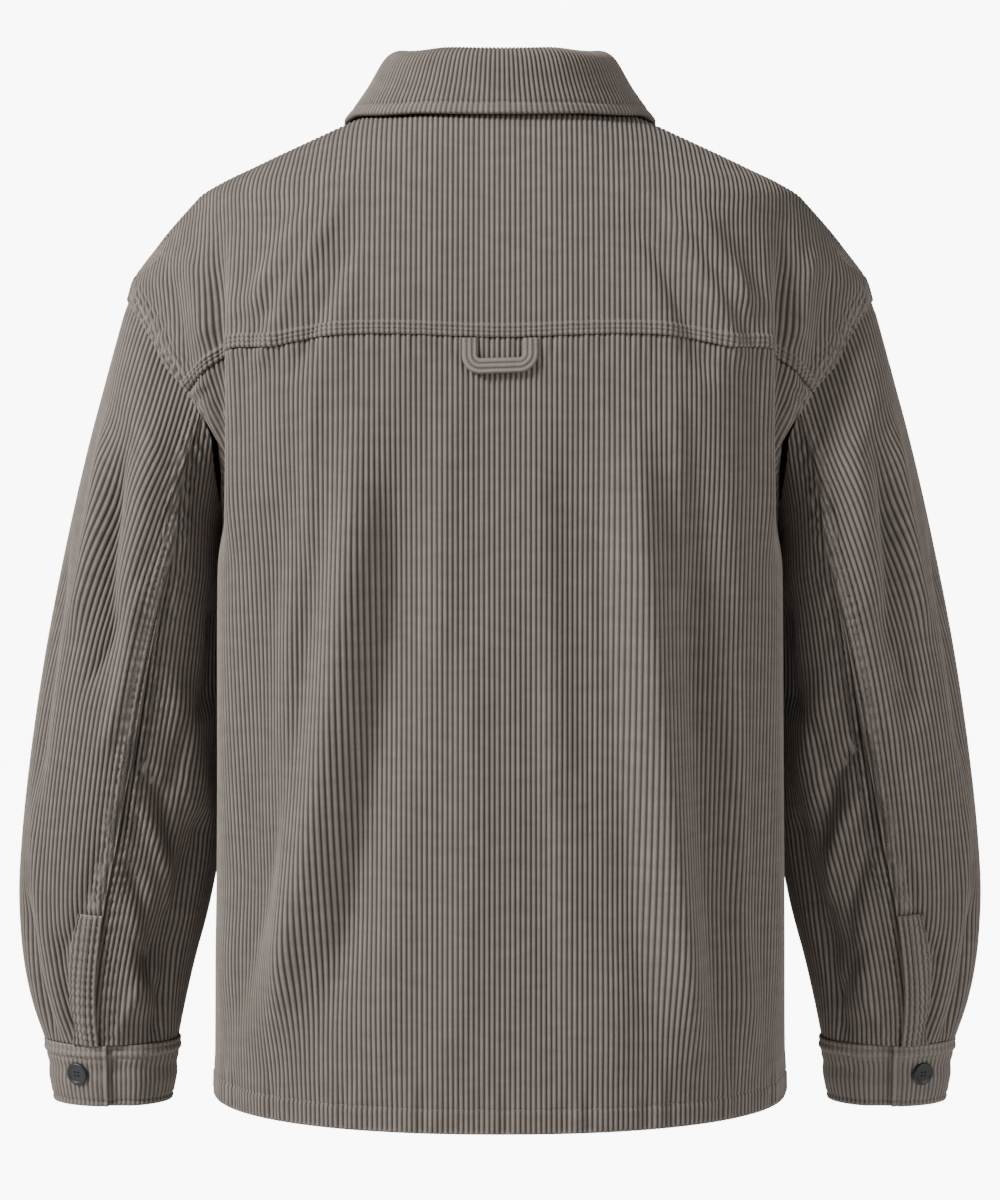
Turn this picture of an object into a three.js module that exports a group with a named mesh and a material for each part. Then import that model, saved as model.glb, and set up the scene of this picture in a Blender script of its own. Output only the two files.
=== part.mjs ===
import * as THREE from 'three';

// A wide-wale corduroy overshirt, filled out as if worn. Millimetres, +Z up, +Y the back,
// +X the wearer's left. The origin is at side-neck height on the middle plane.

const WALL = 1.8;
const CUFF_WALL = 2.4;
const COLLAR_WALL = 2.2;
const STRIP_WALL = 1.6;
const SEAM_GAP = 0.4;
const LAID_GAP = 0.35;

const HEM_LEVEL = -728;
const HEM_FOLD = 17.6;
const UNDERARM_LEVEL = -290;
const YOKE_LEVEL = -228;
const SHOULDER_LEVEL = -132;
const NECK_LEVEL = 10;
const SEAM_BAND = 9;
const ARMHOLE_BAND = 10;
const BAND_RISE = 0.9;
const BAND_EDGE = 1.2;

const BULGE_REACH = 66;
const PRESS_PLACE = -40;
const PRESS_REACH = 55;
const YOKE_DIP = 3;
const YOKE_DIP_REACH = 55;
const YOKE_DIP_HEIGHT = 60;
const YOKE_FORWARD = 40;
const RING_START = 0.1;
const RING_TURN = 0.78;
const RING_FLAT = 0.85;
const RING_SHARE = 0.86;

const ARMHOLE_FRONT_SHARE = 1.22;
const ARMHOLE_STEPS_ABOVE = 6;
const ARMHOLE_STEPS_BELOW = 6;
const ARMHOLE_MIDDLE = new THREE.Vector3(235, 0, -205);

const FRONT_LAP = 17;
const PLACKET_WIDTH = 34;
const LAP_RAMP = 12;
const BUTTON_RADIUS = 8.8;
const BUTTON_THICK = 3;
const BUTTON_HOLE = 1;
const BUTTON_HOLE_SPREAD = 2.1;
const BUTTON_GAP = 0.6;
const BUTTON_SIDES = 16;
const BUTTON_HOLE_SIDES = 5;
const FRONT_BUTTONS = 6;
const BUTTON_TOP = -112;
const BUTTON_END = -612;

// Rings of the body. side is the ring's height at the side; backZ and frontZ are its heights at
// the middle of the back and front; bulge is the drop of the shoulder out over the arm; press is
// how far the arm pushes the side in.
const BODY = table(
  ['side', 'backZ', 'frontZ', 'halfWidth', 'backDepth', 'frontDepth', 'backSquare', 'frontSquare',
    'bulge', 'press'],
  [
    [-728, -728, -728, 215, 147, 150, 2.2, 2.2, 0, 0],
    [-600, -598, -600, 214, 142, 147, 2.5, 2.3, 0, 5],
    [-460, -446, -460, 211, 137, 143, 2.9, 2.4, 0, 9],
    [-340, -300, -340, 209, 133, 138, 3.3, 2.5, 0, 13],
    [-300, -245, -298, 208, 131.5, 135, 3.6, 2.6, 0, 11],
    [-278, -217, -276, 207.5, 131, 133, 3.6, 2.6, 4, 9],
    [-228, -156.5, -228, 208, 129, 128, 3.6, 2.6, 47, 0],
    [-185, -131, -193, 209, 126, 122, 3.4, 2.6, 66, 0],
    [-132, -104, -158, 210, 120, 113, 3.0, 2.5, 66, 0],
    [-91, -79, -134, 211, 113, 106, 2.8, 2.4, 41, 0],
    [-58, -57, -115, 212, 105, 100, 2.7, 2.3, 11, 0],
    [-47, -46, -109, 204, 101, 97, 2.6, 2.3, 1, 0],
    [-36, -36, -102, 182, 96, 94, 2.6, 2.2, 0, 0],
    [-14, -15, -89, 135.5, 86, 87, 2.4, 2.1, 0, 0],
    [-3, -6, -81, 112, 79, 81, 2.2, 2.1, 0, 0],
    [10, 2, -72, 80, 73, 73, 2.1, 2.1, 0, 0],
  ],
);

// The armhole behind, from the shoulder to the underarm: the ring of the body it crosses and how
// far back it lies.
const ARMHOLE = table(
  ['part', 'level', 'depth'],
  [
    [0, -132, 0],
    [0.06, -134, 9],
    [0.14, -142, 20],
    [0.26, -164, 35],
    [0.4, -203, 48],
    [0.55, -240, 57],
    [0.7, -260, 58],
    [0.83, -275, 42],
    [0.93, -285, 20],
    [1, -290, 0],
  ],
);

// Rings of the left sleeve below the armhole, from the outer arm to the body and from its back to
// its front. seam is where the back seam lies, in degrees from the outer arm.
const SLEEVE = table(
  ['ring', 'outerZ', 'innerZ', 'outerX', 'innerX', 'backY', 'frontY', 'square', 'seam'],
  [
    [1, -190, -312, 292.5, 207, 70, -82, 2.0, 112],
    [2, -245, -342, 308, 207, 68, -92, 2.1, 112],
    [3, -318, -380, 326, 207, 60, -100, 2.2, 106],
    [4, -395, -425, 343, 208.5, 45, -107, 2.2, 102],
    [5, -470, -485, 356.5, 212, 28, -113, 2.2, 97],
    [6, -540, -545, 366.5, 216, 10, -120, 2.2, 92],
    [7, -595, -597, 371, 226, -5, -125, 2.1, 88.5],
    [8, -640, -641, 369, 238, -16, -125, 2.1, 87],
    [9, -674, -675, 363, 246, -26, -119, 2.1, 85.5],
    [10, -702, -702, 354, 251.5, -35, -109, 2.1, 84],
  ],
);
const SLEEVE_RINGS = [0, 0.5, 1.1, 1.8, 2.5, 3.2, 3.9, 4.6, 5.3, 6.1, 7, 7.8, 8.5, 9.2, 10];
const PLACKET_RING = 7;
const SLEEVE_FRONT_SEAM = -135;
const SLEEVE_FRONT_SEAM_START = 0.75;
const SLEEVE_PLACKET_WIDTH = 21;
const SLEEVE_SEAM_BAND = 10.5;
const SLEEVE_TOP_CLEAR = 4;
const SLEEVE_TOP_RADIUS = 62;
const SLEEVE_END = 10;
const SLEEVE_SLOPE_STEP = 0.2;
const SLEEVE_LEAD = 1.4;
const SLEEVE_LEAD_TURN = 0.3;
const CREASE_ANGLE_SCALE = 1.25;

// Main creases of the body: a soft ridge, or a trough where rise is below zero, from one height
// and place across to another, bowed between.
const BODY_FOLDS = table(
  ['face', 'topZ', 'topX', 'endZ', 'endX', 'bow', 'width', 'rise'],
  [
    [1, -185, 94, -700, 174, -16, 22, 10],
    [1, -200, 148, -640, 196, 0, 20, -8],
    [1, -190, 62, -660, 116, -12, 20, -6],
    [1, -185, -88, -710, -140, 6, 22, 10],
    [1, -205, -136, -660, -178, 4, 19, -8],
    [1, -200, -50, -660, -88, 6, 20, -6],
    [1, -52, 124, -150, 184, 0, 13, 5],
    [1, -52, -128, -150, -182, 0, 13, 5],
    [-1, -180, 100, -700, 150, 8, 22, 9],
    [-1, -240, 148, -620, 180, 0, 19, -7],
    [-1, -170, -96, -700, -158, -8, 22, 9],
    [-1, -230, -144, -620, -184, 0, 19, -7],
    [-1, -120, 60, -460, 66, 4, 18, -5],
    [-1, -120, -64, -480, -72, -4, 18, -5],
  ],
);

// Main creases of the sleeves, placed by angle round the arm. arm is 1 on the left, -1 on the
// right and 0 on both.
const SLEEVE_FOLDS = table(
  ['arm', 'topZ', 'topAngle', 'endZ', 'endAngle', 'bow', 'width', 'rise'],
  [
    [0, -205, 80, -380, 90, 0, 13, 5],
    [1, -235, 58, -440, 76, 0, 14, -7],
    [-1, -240, 54, -460, 70, 6, 14, -7],
    [0, -340, 150, -450, 138, 8, 13, -7],
    [0, -400, 118, -540, 150, 0, 13, 6],
    [1, -490, 148, -660, 120, 0, 14, -9],
    [-1, -470, 144, -650, 124, 8, 14, -9],
    [0, -560, 108, -690, 116, 0, 12, 5],
    [0, -570, 28, -712, 44, 0, 9, -6],
    [0, -600, 62, -712, 66, 0, 9, -4.5],
    [0, -600, 140, -712, 132, 0, 9, -5],
    [0, -590, -20, -712, -14, 0, 11, -6],
    [0, -600, -64, -712, -70, 0, 10, -6],
    [0, -580, -110, -712, -112, 0, 10, -6],
    [0, -420, -40, -600, -70, 0, 16, -5],
    [0, -480, -90, -620, -60, 0, 15, 5],
    [0, -330, -80, -480, -50, 0, 16, 5],
  ],
);

// Rings of the left cuff.
const CUFF = table(
  ['z', 'halfWidth', 'halfDepth'],
  [
    [-702.8, 53, 39],
    [-714, 51.5, 37.6],
    [-715, 50.6, 36.7],
    [-734, 48, 34.6],
    [-751.5, 46, 33],
  ],
);
const CUFF_CENTRE_X = 302;
const CUFF_CENTRE_Y = -72;
const CUFF_OVER_END = 90;
const CUFF_LAP = 42;
const CUFF_COLUMNS = 30;
const CUFF_LAP_GAP = 0.7;
const CUFF_LAP_START = 330;
const CUFF_LAP_FULL = 352;
const CUFF_BUTTON_ANGLE = 62;

// The collar: how far the stand leans in as it rises, and the fall's turned-down edge, given as
// the ring of the body it lies over and how far it stands off it.
const STAND_HEIGHT_BACK = 34;
const STAND_HEIGHT_FRONT = 26;
const STAND_LEAN = 12;
const FALL_RISE = 11;
const FALL_ROLL = 9;
const FALL_INSET = 2.6;
const FALL_CREST_SHARE = 0.35;
const FALL_SHOULDER_DROP = 0.25;
const FALL_MIDDLE = 0.45;
const FALL_ENDS = 170;
const FALL_COLUMNS = 24;
const FALL_STEPS = [0, 0.1, 0.2, 0.32, 0.46, 0.62, 0.8, 0.94, 1];
const STAND_STEPS = [SEAM_GAP, 12, 24, 1];
const FALL_EDGE = table(
  ['angle', 'side', 'standOff', 'place'],
  [
    [0, 1.5, 6, 0],
    [50, 0.5, 5, 50],
    [90, -2, 4.5, 86],
    [125, -10, 5, 112],
    [150, -24, 5.5, 128],
    [172, -38, 6, 140],
  ],
);

const LOOP = { halfWidth: 27, drop: 25, strap: 11, thick: 2.2, corner: 10, cut: 2, lean: 0.17 };

const SKIN = new THREE.MeshStandardMaterial({ color: 0x766f69, roughness: 0.95, metalness: 0 });
const HORN = new THREE.MeshStandardMaterial({ color: 0x3c4149, roughness: 0.45, metalness: 0 });

function table(columns, rows) {
  return rows.map((row) => Object.fromEntries(columns.map((name, i) => [name, row[i]])));
}

// Slope at a row of a table, flat where the column turns.
function slopeAt(rows, i, key, name) {
  const before = rows[Math.max(i - 1, 0)];
  const here = rows[i];
  const after = rows[Math.min(i + 1, rows.length - 1)];
  const rise = (a, b) => (a === b ? 0 : (b[name] - a[name]) / (b[key] - a[key]));
  const first = rise(before, here);
  const last = rise(here, after);
  if (before === here) return last;
  if (after === here) return first;
  if (first * last <= 0) return 0;
  const spanBefore = here[key] - before[key];
  const spanAfter = after[key] - here[key];
  return (first * spanAfter + last * spanBefore) / (spanBefore + spanAfter);
}

// A row between the rows of a table, on smooth curves through every column.
function smoothRow(rows, key, at) {
  const ascending = rows[0][key] < rows[rows.length - 1][key];
  const inside = ascending
    ? Math.min(Math.max(at, rows[0][key]), rows[rows.length - 1][key])
    : Math.max(Math.min(at, rows[0][key]), rows[rows.length - 1][key]);
  let i = 0;
  while (i < rows.length - 2 && (ascending ? rows[i + 1][key] < inside : rows[i + 1][key] > inside)) {
    i += 1;
  }
  const span = rows[i + 1][key] - rows[i][key];
  const t = (inside - rows[i][key]) / span;
  const out = { [key]: inside };
  for (const name of Object.keys(rows[0])) {
    if (name === key) continue;
    const a = rows[i][name];
    const b = rows[i + 1][name];
    const slopeA = slopeAt(rows, i, key, name) * span;
    const slopeB = slopeAt(rows, i + 1, key, name) * span;
    out[name] = a * (2 * t ** 3 - 3 * t ** 2 + 1) + slopeA * (t ** 3 - 2 * t ** 2 + t)
      + b * (3 * t ** 2 - 2 * t ** 3) + slopeB * (t ** 3 - t ** 2);
  }
  return out;
}

function smoothstep(low, high, value) {
  const t = Math.min(Math.max((value - low) / (high - low), 0), 1);
  return t * t * (3 - 2 * t);
}

function mix(a, b, t) {
  return a + (b - a) * t;
}

// Share of a crease's height at a place: full along its middle, fading at its ends and sides.
function creaseHeight(top, end, at, across, bow, width) {
  const t = (top - at) / (top - end);
  if (t <= 0 || t >= 1) return 0;
  const centre = across.top + (across.end - across.top) * t + bow * 4 * t * (1 - t);
  const off = (across.here - centre) * across.scale;
  const fade = smoothstep(0, 0.3, t) * smoothstep(0, 0.22, 1 - t);
  return fade * Math.exp(-((off / width) ** 2));
}

// The body's smooth surface. angle is 0 at the middle of the back, 90 degrees at the side and
// 180 at the middle of the front.
function bodyRing(angle, side) {
  const row = smoothRow(BODY, 'side', side);
  const s = Math.sin(angle);
  const c = Math.cos(angle);
  const square = c >= 0 ? row.backSquare : row.frontSquare;
  const depth = c >= 0 ? row.backDepth : row.frontDepth;
  const centreZ = c >= 0 ? row.backZ : row.frontZ;
  const reach = (Math.abs(s) ** square + Math.abs(c) ** square) ** (-1 / square);
  const wide = reach * s;
  const y = depth * reach * c;
  const outward = Math.abs(wide) ** 4 * Math.sign(wide);
  const push = row.bulge * Math.exp(-((y / BULGE_REACH) ** 2))
    - row.press * Math.exp(-(((y - PRESS_PLACE) / PRESS_REACH) ** 2));
  const x = row.halfWidth * wide + outward * push;
  const facing = Math.abs(reach * c);
  const rise = mix(smoothstep(RING_FLAT, 1, facing), smoothstep(RING_START, RING_TURN, facing), RING_SHARE);
  const dip = c >= 0
    ? YOKE_DIP * Math.exp(-((x / YOKE_DIP_REACH) ** 2)) * Math.exp(-(((side - YOKE_LEVEL) / YOKE_DIP_HEIGHT) ** 2))
    : 0;
  return new THREE.Vector3(x, y, side + (centreZ - side) * rise - dip);
}

function surfaceNormal(place, u, v, stepU, stepV, lowV, highV) {
  const across = place(u + stepU, v).sub(place(u - stepU, v));
  const up = place(u, Math.min(v + stepV, highV)).sub(place(u, Math.max(v - stepV, lowV)));
  return up.cross(across).normalize();
}

function bodyNormal(angle, side) {
  return surfaceNormal(bodyRing, angle, side, 0.01, 1.5, HEM_LEVEL, NECK_LEVEL);
}

function bodyFold(point, angle) {
  const face = Math.cos(angle) >= 0 ? 1 : -1;
  let rise = 0;
  for (const fold of BODY_FOLDS) {
    if (fold.face !== face) continue;
    const across = { top: fold.topX, end: fold.endX, here: point.x, scale: 1 };
    rise += fold.rise * creaseHeight(fold.topZ, fold.endZ, point.z, across, fold.bow, fold.width);
  }
  return rise * smoothstep(0.1, 0.4, Math.abs(Math.cos(angle)));
}

// A point of the body with its creases. mirror is 1 on the wearer's left and -1 on the right.
function bodySkin(angle, side, mirror) {
  const point = bodyRing(angle, side);
  const normal = bodyNormal(angle, side);
  const actual = new THREE.Vector3(point.x * mirror, point.y, point.z);
  point.addScaledVector(normal, bodyFold(actual, angle));
  return point;
}

function angleWhere(test, low, high) {
  let a = low;
  let b = high;
  for (let i = 0; i < 40; i += 1) {
    const middle = (a + b) / 2;
    if (test(middle)) a = middle;
    else b = middle;
  }
  return (a + b) / 2;
}

function angleAtDepth(y, side) {
  return angleWhere((angle) => bodyRing(angle, side).y > y, 0, Math.PI);
}

function angleAtFrontWidth(x, side) {
  return angleWhere((angle) => bodyRing(angle, side).x > x, Math.PI * 0.75, Math.PI * 1.25);
}

// The armhole at a part of the way from the shoulder, 0, to the underarm, 1. face is 1 behind and
// -1 in front.
function armholeLevel(part) {
  return smoothRow(ARMHOLE, 'part', part).level;
}

function armholeDepth(part, face) {
  const { depth } = smoothRow(ARMHOLE, 'part', part);
  return face > 0 ? depth : -depth * ARMHOLE_FRONT_SHARE;
}

function armholePart(level) {
  return angleWhere((part) => armholeLevel(part) > level, 0, 1);
}

const YOKE_PART = armholePart(YOKE_LEVEL);

function armholeParts() {
  const parts = [];
  for (let i = 0; i < ARMHOLE_STEPS_ABOVE; i += 1) parts.push(YOKE_PART * i / ARMHOLE_STEPS_ABOVE);
  for (let i = 0; i <= ARMHOLE_STEPS_BELOW; i += 1) {
    parts.push(mix(YOKE_PART, 1, i / ARMHOLE_STEPS_BELOW));
  }
  return parts;
}

const ARMHOLE_PARTS = armholeParts();
const SLEEVE_SEAM_START = ARMHOLE_PARTS[ARMHOLE_STEPS_ABOVE + 1];

// The sleeve's section below the armhole, at an angle from the outer arm towards the back.
function sleeveSection(angle, ring) {
  const row = smoothRow(SLEEVE, 'ring', Math.max(ring, 1));
  const c = Math.cos(angle);
  const s = Math.sin(angle);
  const reach = (Math.abs(c) ** row.square + Math.abs(s) ** row.square) ** (-1 / row.square);
  const x = (row.outerX + row.innerX) / 2 + (row.outerX - row.innerX) / 2 * reach * c;
  const y = (row.backY + row.frontY) / 2 + (row.backY - row.frontY) / 2 * reach * s;
  const z = mix(row.innerZ, row.outerZ, (reach * c + 1) / 2);
  return new THREE.Vector3(x, y, z);
}

// Angle round the arm of a lengthwise line that starts at a part of the armhole. turn counts from
// the shoulder, 0 to 1 behind and 0 to -1 in front.
function sleeveAngle(turn, ring) {
  const backStart = SLEEVE_SEAM_START;
  const frontStart = -SLEEVE_FRONT_SEAM_START;
  const back = smoothRow(SLEEVE, 'ring', Math.max(ring, 1)).seam;
  const front = SLEEVE_FRONT_SEAM;
  const round = turn < frontStart ? turn + 2 : turn;
  const degrees = round <= backStart
    ? mix(front, back, (round - frontStart) / (backStart - frontStart))
    : mix(back, front + 360, (round - backStart) / (frontStart + 2 - backStart));
  return THREE.MathUtils.degToRad(degrees);
}

function armholePoint(turn) {
  const folded = turn > 1 ? turn - 2 : turn;
  const part = Math.abs(folded);
  const side = armholeLevel(part);
  const face = folded >= 0 ? 1 : -1;
  return bodyRing(angleAtDepth(armholeDepth(part, face), side), side);
}

// The sleeve's smooth surface: ring 0 is the armhole, and the first stretch leaves it smoothly.
function sleeveRing(turn, ring) {
  if (ring >= 1) return sleeveSection(sleeveAngle(turn, ring), ring);
  const start = armholePoint(turn);
  const end = sleeveSection(sleeveAngle(turn, 1), 1);
  const after = 1 + SLEEVE_SLOPE_STEP;
  const slope = sleeveSection(sleeveAngle(turn, after), after).sub(end).divideScalar(SLEEVE_SLOPE_STEP);
  const lead = end.clone().sub(start).multiplyScalar(SLEEVE_LEAD).addScaledVector(slope, -SLEEVE_LEAD_TURN);
  const t = ring;
  return new THREE.Vector3()
    .addScaledVector(start, 2 * t ** 3 - 3 * t ** 2 + 1)
    .addScaledVector(lead, t ** 3 - 2 * t ** 2 + t)
    .addScaledVector(end, 3 * t ** 2 - 2 * t ** 3)
    .addScaledVector(slope, t ** 3 - t ** 2);
}

function sleeveNormal(turn, ring) {
  const across = sleeveRing(turn + 0.01, ring).sub(sleeveRing(turn - 0.01, ring));
  const down = sleeveRing(turn, Math.min(ring + 0.05, SLEEVE_END)).sub(sleeveRing(turn, Math.max(ring - 0.05, 0)));
  return across.cross(down).normalize().multiplyScalar(-1);
}

function sleeveFold(point, turn, ring, arm) {
  const degrees = THREE.MathUtils.radToDeg(sleeveAngle(turn, ring));
  let rise = 0;
  for (const fold of SLEEVE_FOLDS) {
    if (fold.arm !== 0 && fold.arm !== arm) continue;
    const turns = Math.round((degrees - fold.topAngle) / 360);
    const across = { top: fold.topAngle, end: fold.endAngle, here: degrees - turns * 360, scale: CREASE_ANGLE_SCALE };
    rise += fold.rise * creaseHeight(fold.topZ, fold.endZ, point.z, across, fold.bow, fold.width);
  }
  return rise * smoothstep(0, 1, ring) * smoothstep(SLEEVE_END + 0.4, SLEEVE_END - 0.6, ring);
}

function sleeveSkin(turn, ring, arm) {
  const point = sleeveRing(turn, ring);
  return point.addScaledVector(sleeveNormal(turn, ring), sleeveFold(point, turn, ring, arm));
}

// Where the armhole seam's edges lie: the seam point, the way from the body's cloth to the
// sleeve's, and the way each edge's thickness runs.
function armholeSeam(turn) {
  const point = armholePoint(turn);
  const side = armholeLevel(Math.abs(turn));
  const face = turn >= 0 ? 1 : -1;
  const angle = angleAtDepth(armholeDepth(Math.abs(turn), face), side);
  const out = bodyNormal(angle, side);
  const along = armholePoint(turn + 0.004).sub(armholePoint(turn - 0.004)).normalize();
  const down = sleeveRing(turn, 0.12).sub(point);
  down.addScaledVector(along, -down.dot(along)).normalize();
  const sleeveOut = along.clone().cross(down).multiplyScalar(-1).normalize();
  const away = out.clone().cross(along).normalize();
  if (away.dot(point.clone().sub(ARMHOLE_MIDDLE)) < 0) away.multiplyScalar(-1);
  const apart = down.clone().sub(away).normalize();
  const share = smoothstep(-0.6, 0.1, out.dot(sleeveOut));
  const bodyWay = out.clone().addScaledVector(sleeveOut, share).normalize();
  const sleeveWay = sleeveOut.clone().addScaledVector(out, share).normalize();
  return { turn, side, point, apart, bodyWay, sleeveWay };
}

const ARMHOLE_SEAM = {
  back: ARMHOLE_PARTS.map((part) => armholeSeam(part)),
  front: ARMHOLE_PARTS.map((part) => armholeSeam(-part)),
};

function between(a, b, t) {
  return {
    point: a.point.clone().lerp(b.point, t),
    apart: a.apart.clone().lerp(b.apart, t).normalize(),
    bodyWay: a.bodyWay.clone().lerp(b.bodyWay, t).normalize(),
    sleeveWay: a.sleeveWay.clone().lerp(b.sleeveWay, t).normalize(),
  };
}

function seamAtLevel(seam, level) {
  let i = 0;
  while (i < seam.length - 2 && seam[i + 1].side > level) i += 1;
  const t = Math.min(Math.max((seam[i].side - level) / (seam[i].side - seam[i + 1].side), 0), 1);
  return between(seam[i], seam[i + 1], t);
}

function seamAtTurn(turn) {
  const folded = turn > 1 ? turn - 2 : turn;
  const seam = folded >= 0 ? ARMHOLE_SEAM.back : ARMHOLE_SEAM.front;
  const part = Math.min(Math.abs(folded), 1);
  let i = 0;
  while (i < seam.length - 2 && Math.abs(seam[i + 1].turn) < part) i += 1;
  const low = Math.abs(seam[i].turn);
  const high = Math.abs(seam[i + 1].turn);
  return between(seam[i], seam[i + 1], (part - low) / (high - low));
}

// A node of one material from a grid of outer and inner points, closed round its rims.
function shell(name, grid, material, joined = false) {
  const rows = grid.length;
  const columns = grid[0].length;
  const positions = [];
  for (const row of grid) for (const cell of row) positions.push(...cell.outer.toArray());
  for (const row of grid) for (const cell of row) positions.push(...cell.inner.toArray());
  const outer = (i, j) => i * columns + (j % columns);
  const inner = (i, j) => rows * columns + outer(i, j);
  const faces = [];
  const quad = (a, b, c, d) => faces.push(a, b, c, a, c, d);
  const spans = joined ? columns : columns - 1;
  for (let i = 0; i < rows - 1; i += 1) {
    for (let j = 0; j < spans; j += 1) {
      quad(outer(i, j), outer(i, j + 1), outer(i + 1, j + 1), outer(i + 1, j));
      quad(inner(i, j), inner(i + 1, j), inner(i + 1, j + 1), inner(i, j + 1));
    }
  }
  for (let j = 0; j < spans; j += 1) {
    quad(outer(0, j + 1), outer(0, j), inner(0, j), inner(0, j + 1));
    quad(outer(rows - 1, j), outer(rows - 1, j + 1), inner(rows - 1, j + 1), inner(rows - 1, j));
  }
  if (!joined) {
    for (let i = 0; i < rows - 1; i += 1) {
      quad(outer(i, 0), outer(i + 1, 0), inner(i + 1, 0), inner(i, 0));
      quad(outer(i + 1, columns - 1), outer(i, columns - 1), inner(i, columns - 1), inner(i + 1, columns - 1));
    }
  }
  return meshFrom(name, positions, faces, material);
}

function meshFrom(name, positions, faces, material) {
  const corner = (index) => new THREE.Vector3().fromArray(positions, index * 3);
  let volume = 0;
  for (let i = 0; i < faces.length; i += 3) {
    volume += corner(faces[i]).dot(corner(faces[i + 1]).cross(corner(faces[i + 2])));
  }
  const index = volume > 0 ? faces : faces.map((_, i) => faces[i - (i % 3) + 2 - (i % 3)]);
  const geometry = new THREE.BufferGeometry();
  geometry.setAttribute('position', new THREE.Float32BufferAttribute(positions, 3));
  geometry.setIndex(index);
  geometry.computeVertexNormals();
  const mesh = new THREE.Mesh(geometry, material);
  mesh.name = name;
  return mesh;
}

function mirrored(grid) {
  const flip = (point) => new THREE.Vector3(-point.x, point.y, point.z);
  return grid.map((row) => row.map((cell) => ({ ...cell, outer: flip(cell.outer), inner: flip(cell.inner) })));
}

// Cells moved out to make a piece that is laid on a panel.
function laidOn(grid, wall) {
  return grid.map((row) => row.map((cell) => {
    const way = cell.outer.clone().sub(cell.inner).normalize();
    const base = cell.outer.clone().addScaledVector(way, LAID_GAP);
    return { outer: base.clone().addScaledVector(way, wall), inner: base };
  }));
}

// Angles along a ring of the body, from distances along it.
function anglesAlong(side, startAngle, endAngle, placesFor) {
  const steps = 80;
  const samples = [];
  let length = 0;
  let last = null;
  for (let i = 0; i <= steps; i += 1) {
    const angle = mix(startAngle, endAngle, i / steps);
    const point = bodyRing(angle, side);
    if (last) length += point.distanceTo(last);
    samples.push({ angle, length });
    last = point;
  }
  return placesFor(length).map((place) => {
    let i = 0;
    while (i < steps - 1 && samples[i + 1].length < place) i += 1;
    const t = (place - samples[i].length) / (samples[i + 1].length - samples[i].length);
    return { angle: mix(samples[i].angle, samples[i + 1].angle, t), fromStart: place, fromEnd: length - place };
  });
}

function evenly(low, high, count) {
  return Array.from({ length: count + 1 }, (_, i) => mix(low, high, i / count));
}

// Heights of the body's rings, from the hem to the neck.
const HEM_RINGS = [HEM_LEVEL, HEM_LEVEL + HEM_FOLD, HEM_LEVEL + HEM_FOLD + BAND_EDGE];
const BODY_RINGS = evenly(HEM_LEVEL + HEM_FOLD + BAND_EDGE, UNDERARM_LEVEL, 8).slice(1, -1);
const ARM_RINGS = ARMHOLE_PARTS.map(armholeLevel).reverse();
const SHOULDER_RINGS = [-112, -91, -72, -54, -36, -20, -6, NECK_LEVEL];

function yokeFrontAngle(side) {
  const part = (side - SHOULDER_LEVEL) / (NECK_LEVEL - SHOULDER_LEVEL);
  return angleAtDepth(-YOKE_FORWARD * part ** 0.8, side);
}

function armholeAngle(side, face) {
  return angleAtDepth(armholeDepth(armholePart(side), face), side);
}

function inArmhole(side) {
  return side >= UNDERARM_LEVEL - 0.01 && side <= SHOULDER_LEVEL + 0.01;
}

// How far a panel stands out where its seams are folded and topstitched.
function bandRise(side, fromArmhole, seamSide) {
  const hem = side <= HEM_LEVEL + HEM_FOLD + 0.01 ? BAND_RISE : 0;
  const seam = seamSide && side <= YOKE_LEVEL + SEAM_BAND + 0.01 ? BAND_RISE : 0;
  const arm = inArmhole(side) && fromArmhole <= ARMHOLE_BAND + 0.01 ? BAND_RISE : 0;
  return Math.max(hem, seam, arm * smoothstep(UNDERARM_LEVEL, UNDERARM_LEVEL + 15, side));
}

function armholeCell(side, face, neighbour) {
  const seam = seamAtLevel(face > 0 ? ARMHOLE_SEAM.back : ARMHOLE_SEAM.front, side);
  const outer = seam.point.clone().addScaledVector(seam.apart, -SEAM_GAP / 2);
  const corner = Math.abs(side - SHOULDER_LEVEL) < 0.01 || Math.abs(side - UNDERARM_LEVEL) < 0.01;
  if (corner) outer.y += face * SEAM_GAP * 0.7;
  outer.addScaledVector(neighbour.clone().sub(outer).normalize(), SEAM_GAP / 4);
  return { outer, inner: outer.clone().addScaledVector(seam.bodyWay, -WALL) };
}

function bodyCell(angle, side, mirror, rise) {
  const step = 0.012;
  const place = (u, v) => bodySkin(u, v, mirror);
  const way = surfaceNormal(place, angle, side, step, 2, HEM_LEVEL, NECK_LEVEL);
  const point = bodySkin(angle, side, mirror);
  const outer = point.clone().addScaledVector(way, rise);
  return { outer, inner: point.addScaledVector(way, -WALL) };
}

// One half of the back or yoke, from the middle out to the armhole, side seam or front edge.
function backHalf(sides, columns, isYoke, mirror) {
  return sides.map((side) => {
    const arm = inArmhole(side);
    let edge = Math.PI / 2;
    if (arm) edge = armholeAngle(side, 1);
    else if (side > SHOULDER_LEVEL) edge = yokeFrontAngle(side);
    const places = (length) => [
      ...evenly(0, length - ARMHOLE_BAND - BAND_EDGE, columns - 3),
      length - ARMHOLE_BAND,
      length - SEAM_GAP / 2,
    ];
    const cells = anglesAlong(side, 0, edge, places).map((station) => bodyCell(
      station.angle, side, mirror, bandRise(side, station.fromEnd, isYoke)));
    if (arm) cells[cells.length - 1] = armholeCell(side, 1, cells[cells.length - 2].outer);
    return cells;
  });
}

function wholeBack(sides, columns, isYoke) {
  const left = backHalf(sides, columns, isYoke, 1);
  const right = mirrored(backHalf(sides, columns, isYoke, -1));
  return left.map((row, i) => [...right[i].slice(1).reverse(), ...row]);
}

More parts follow.
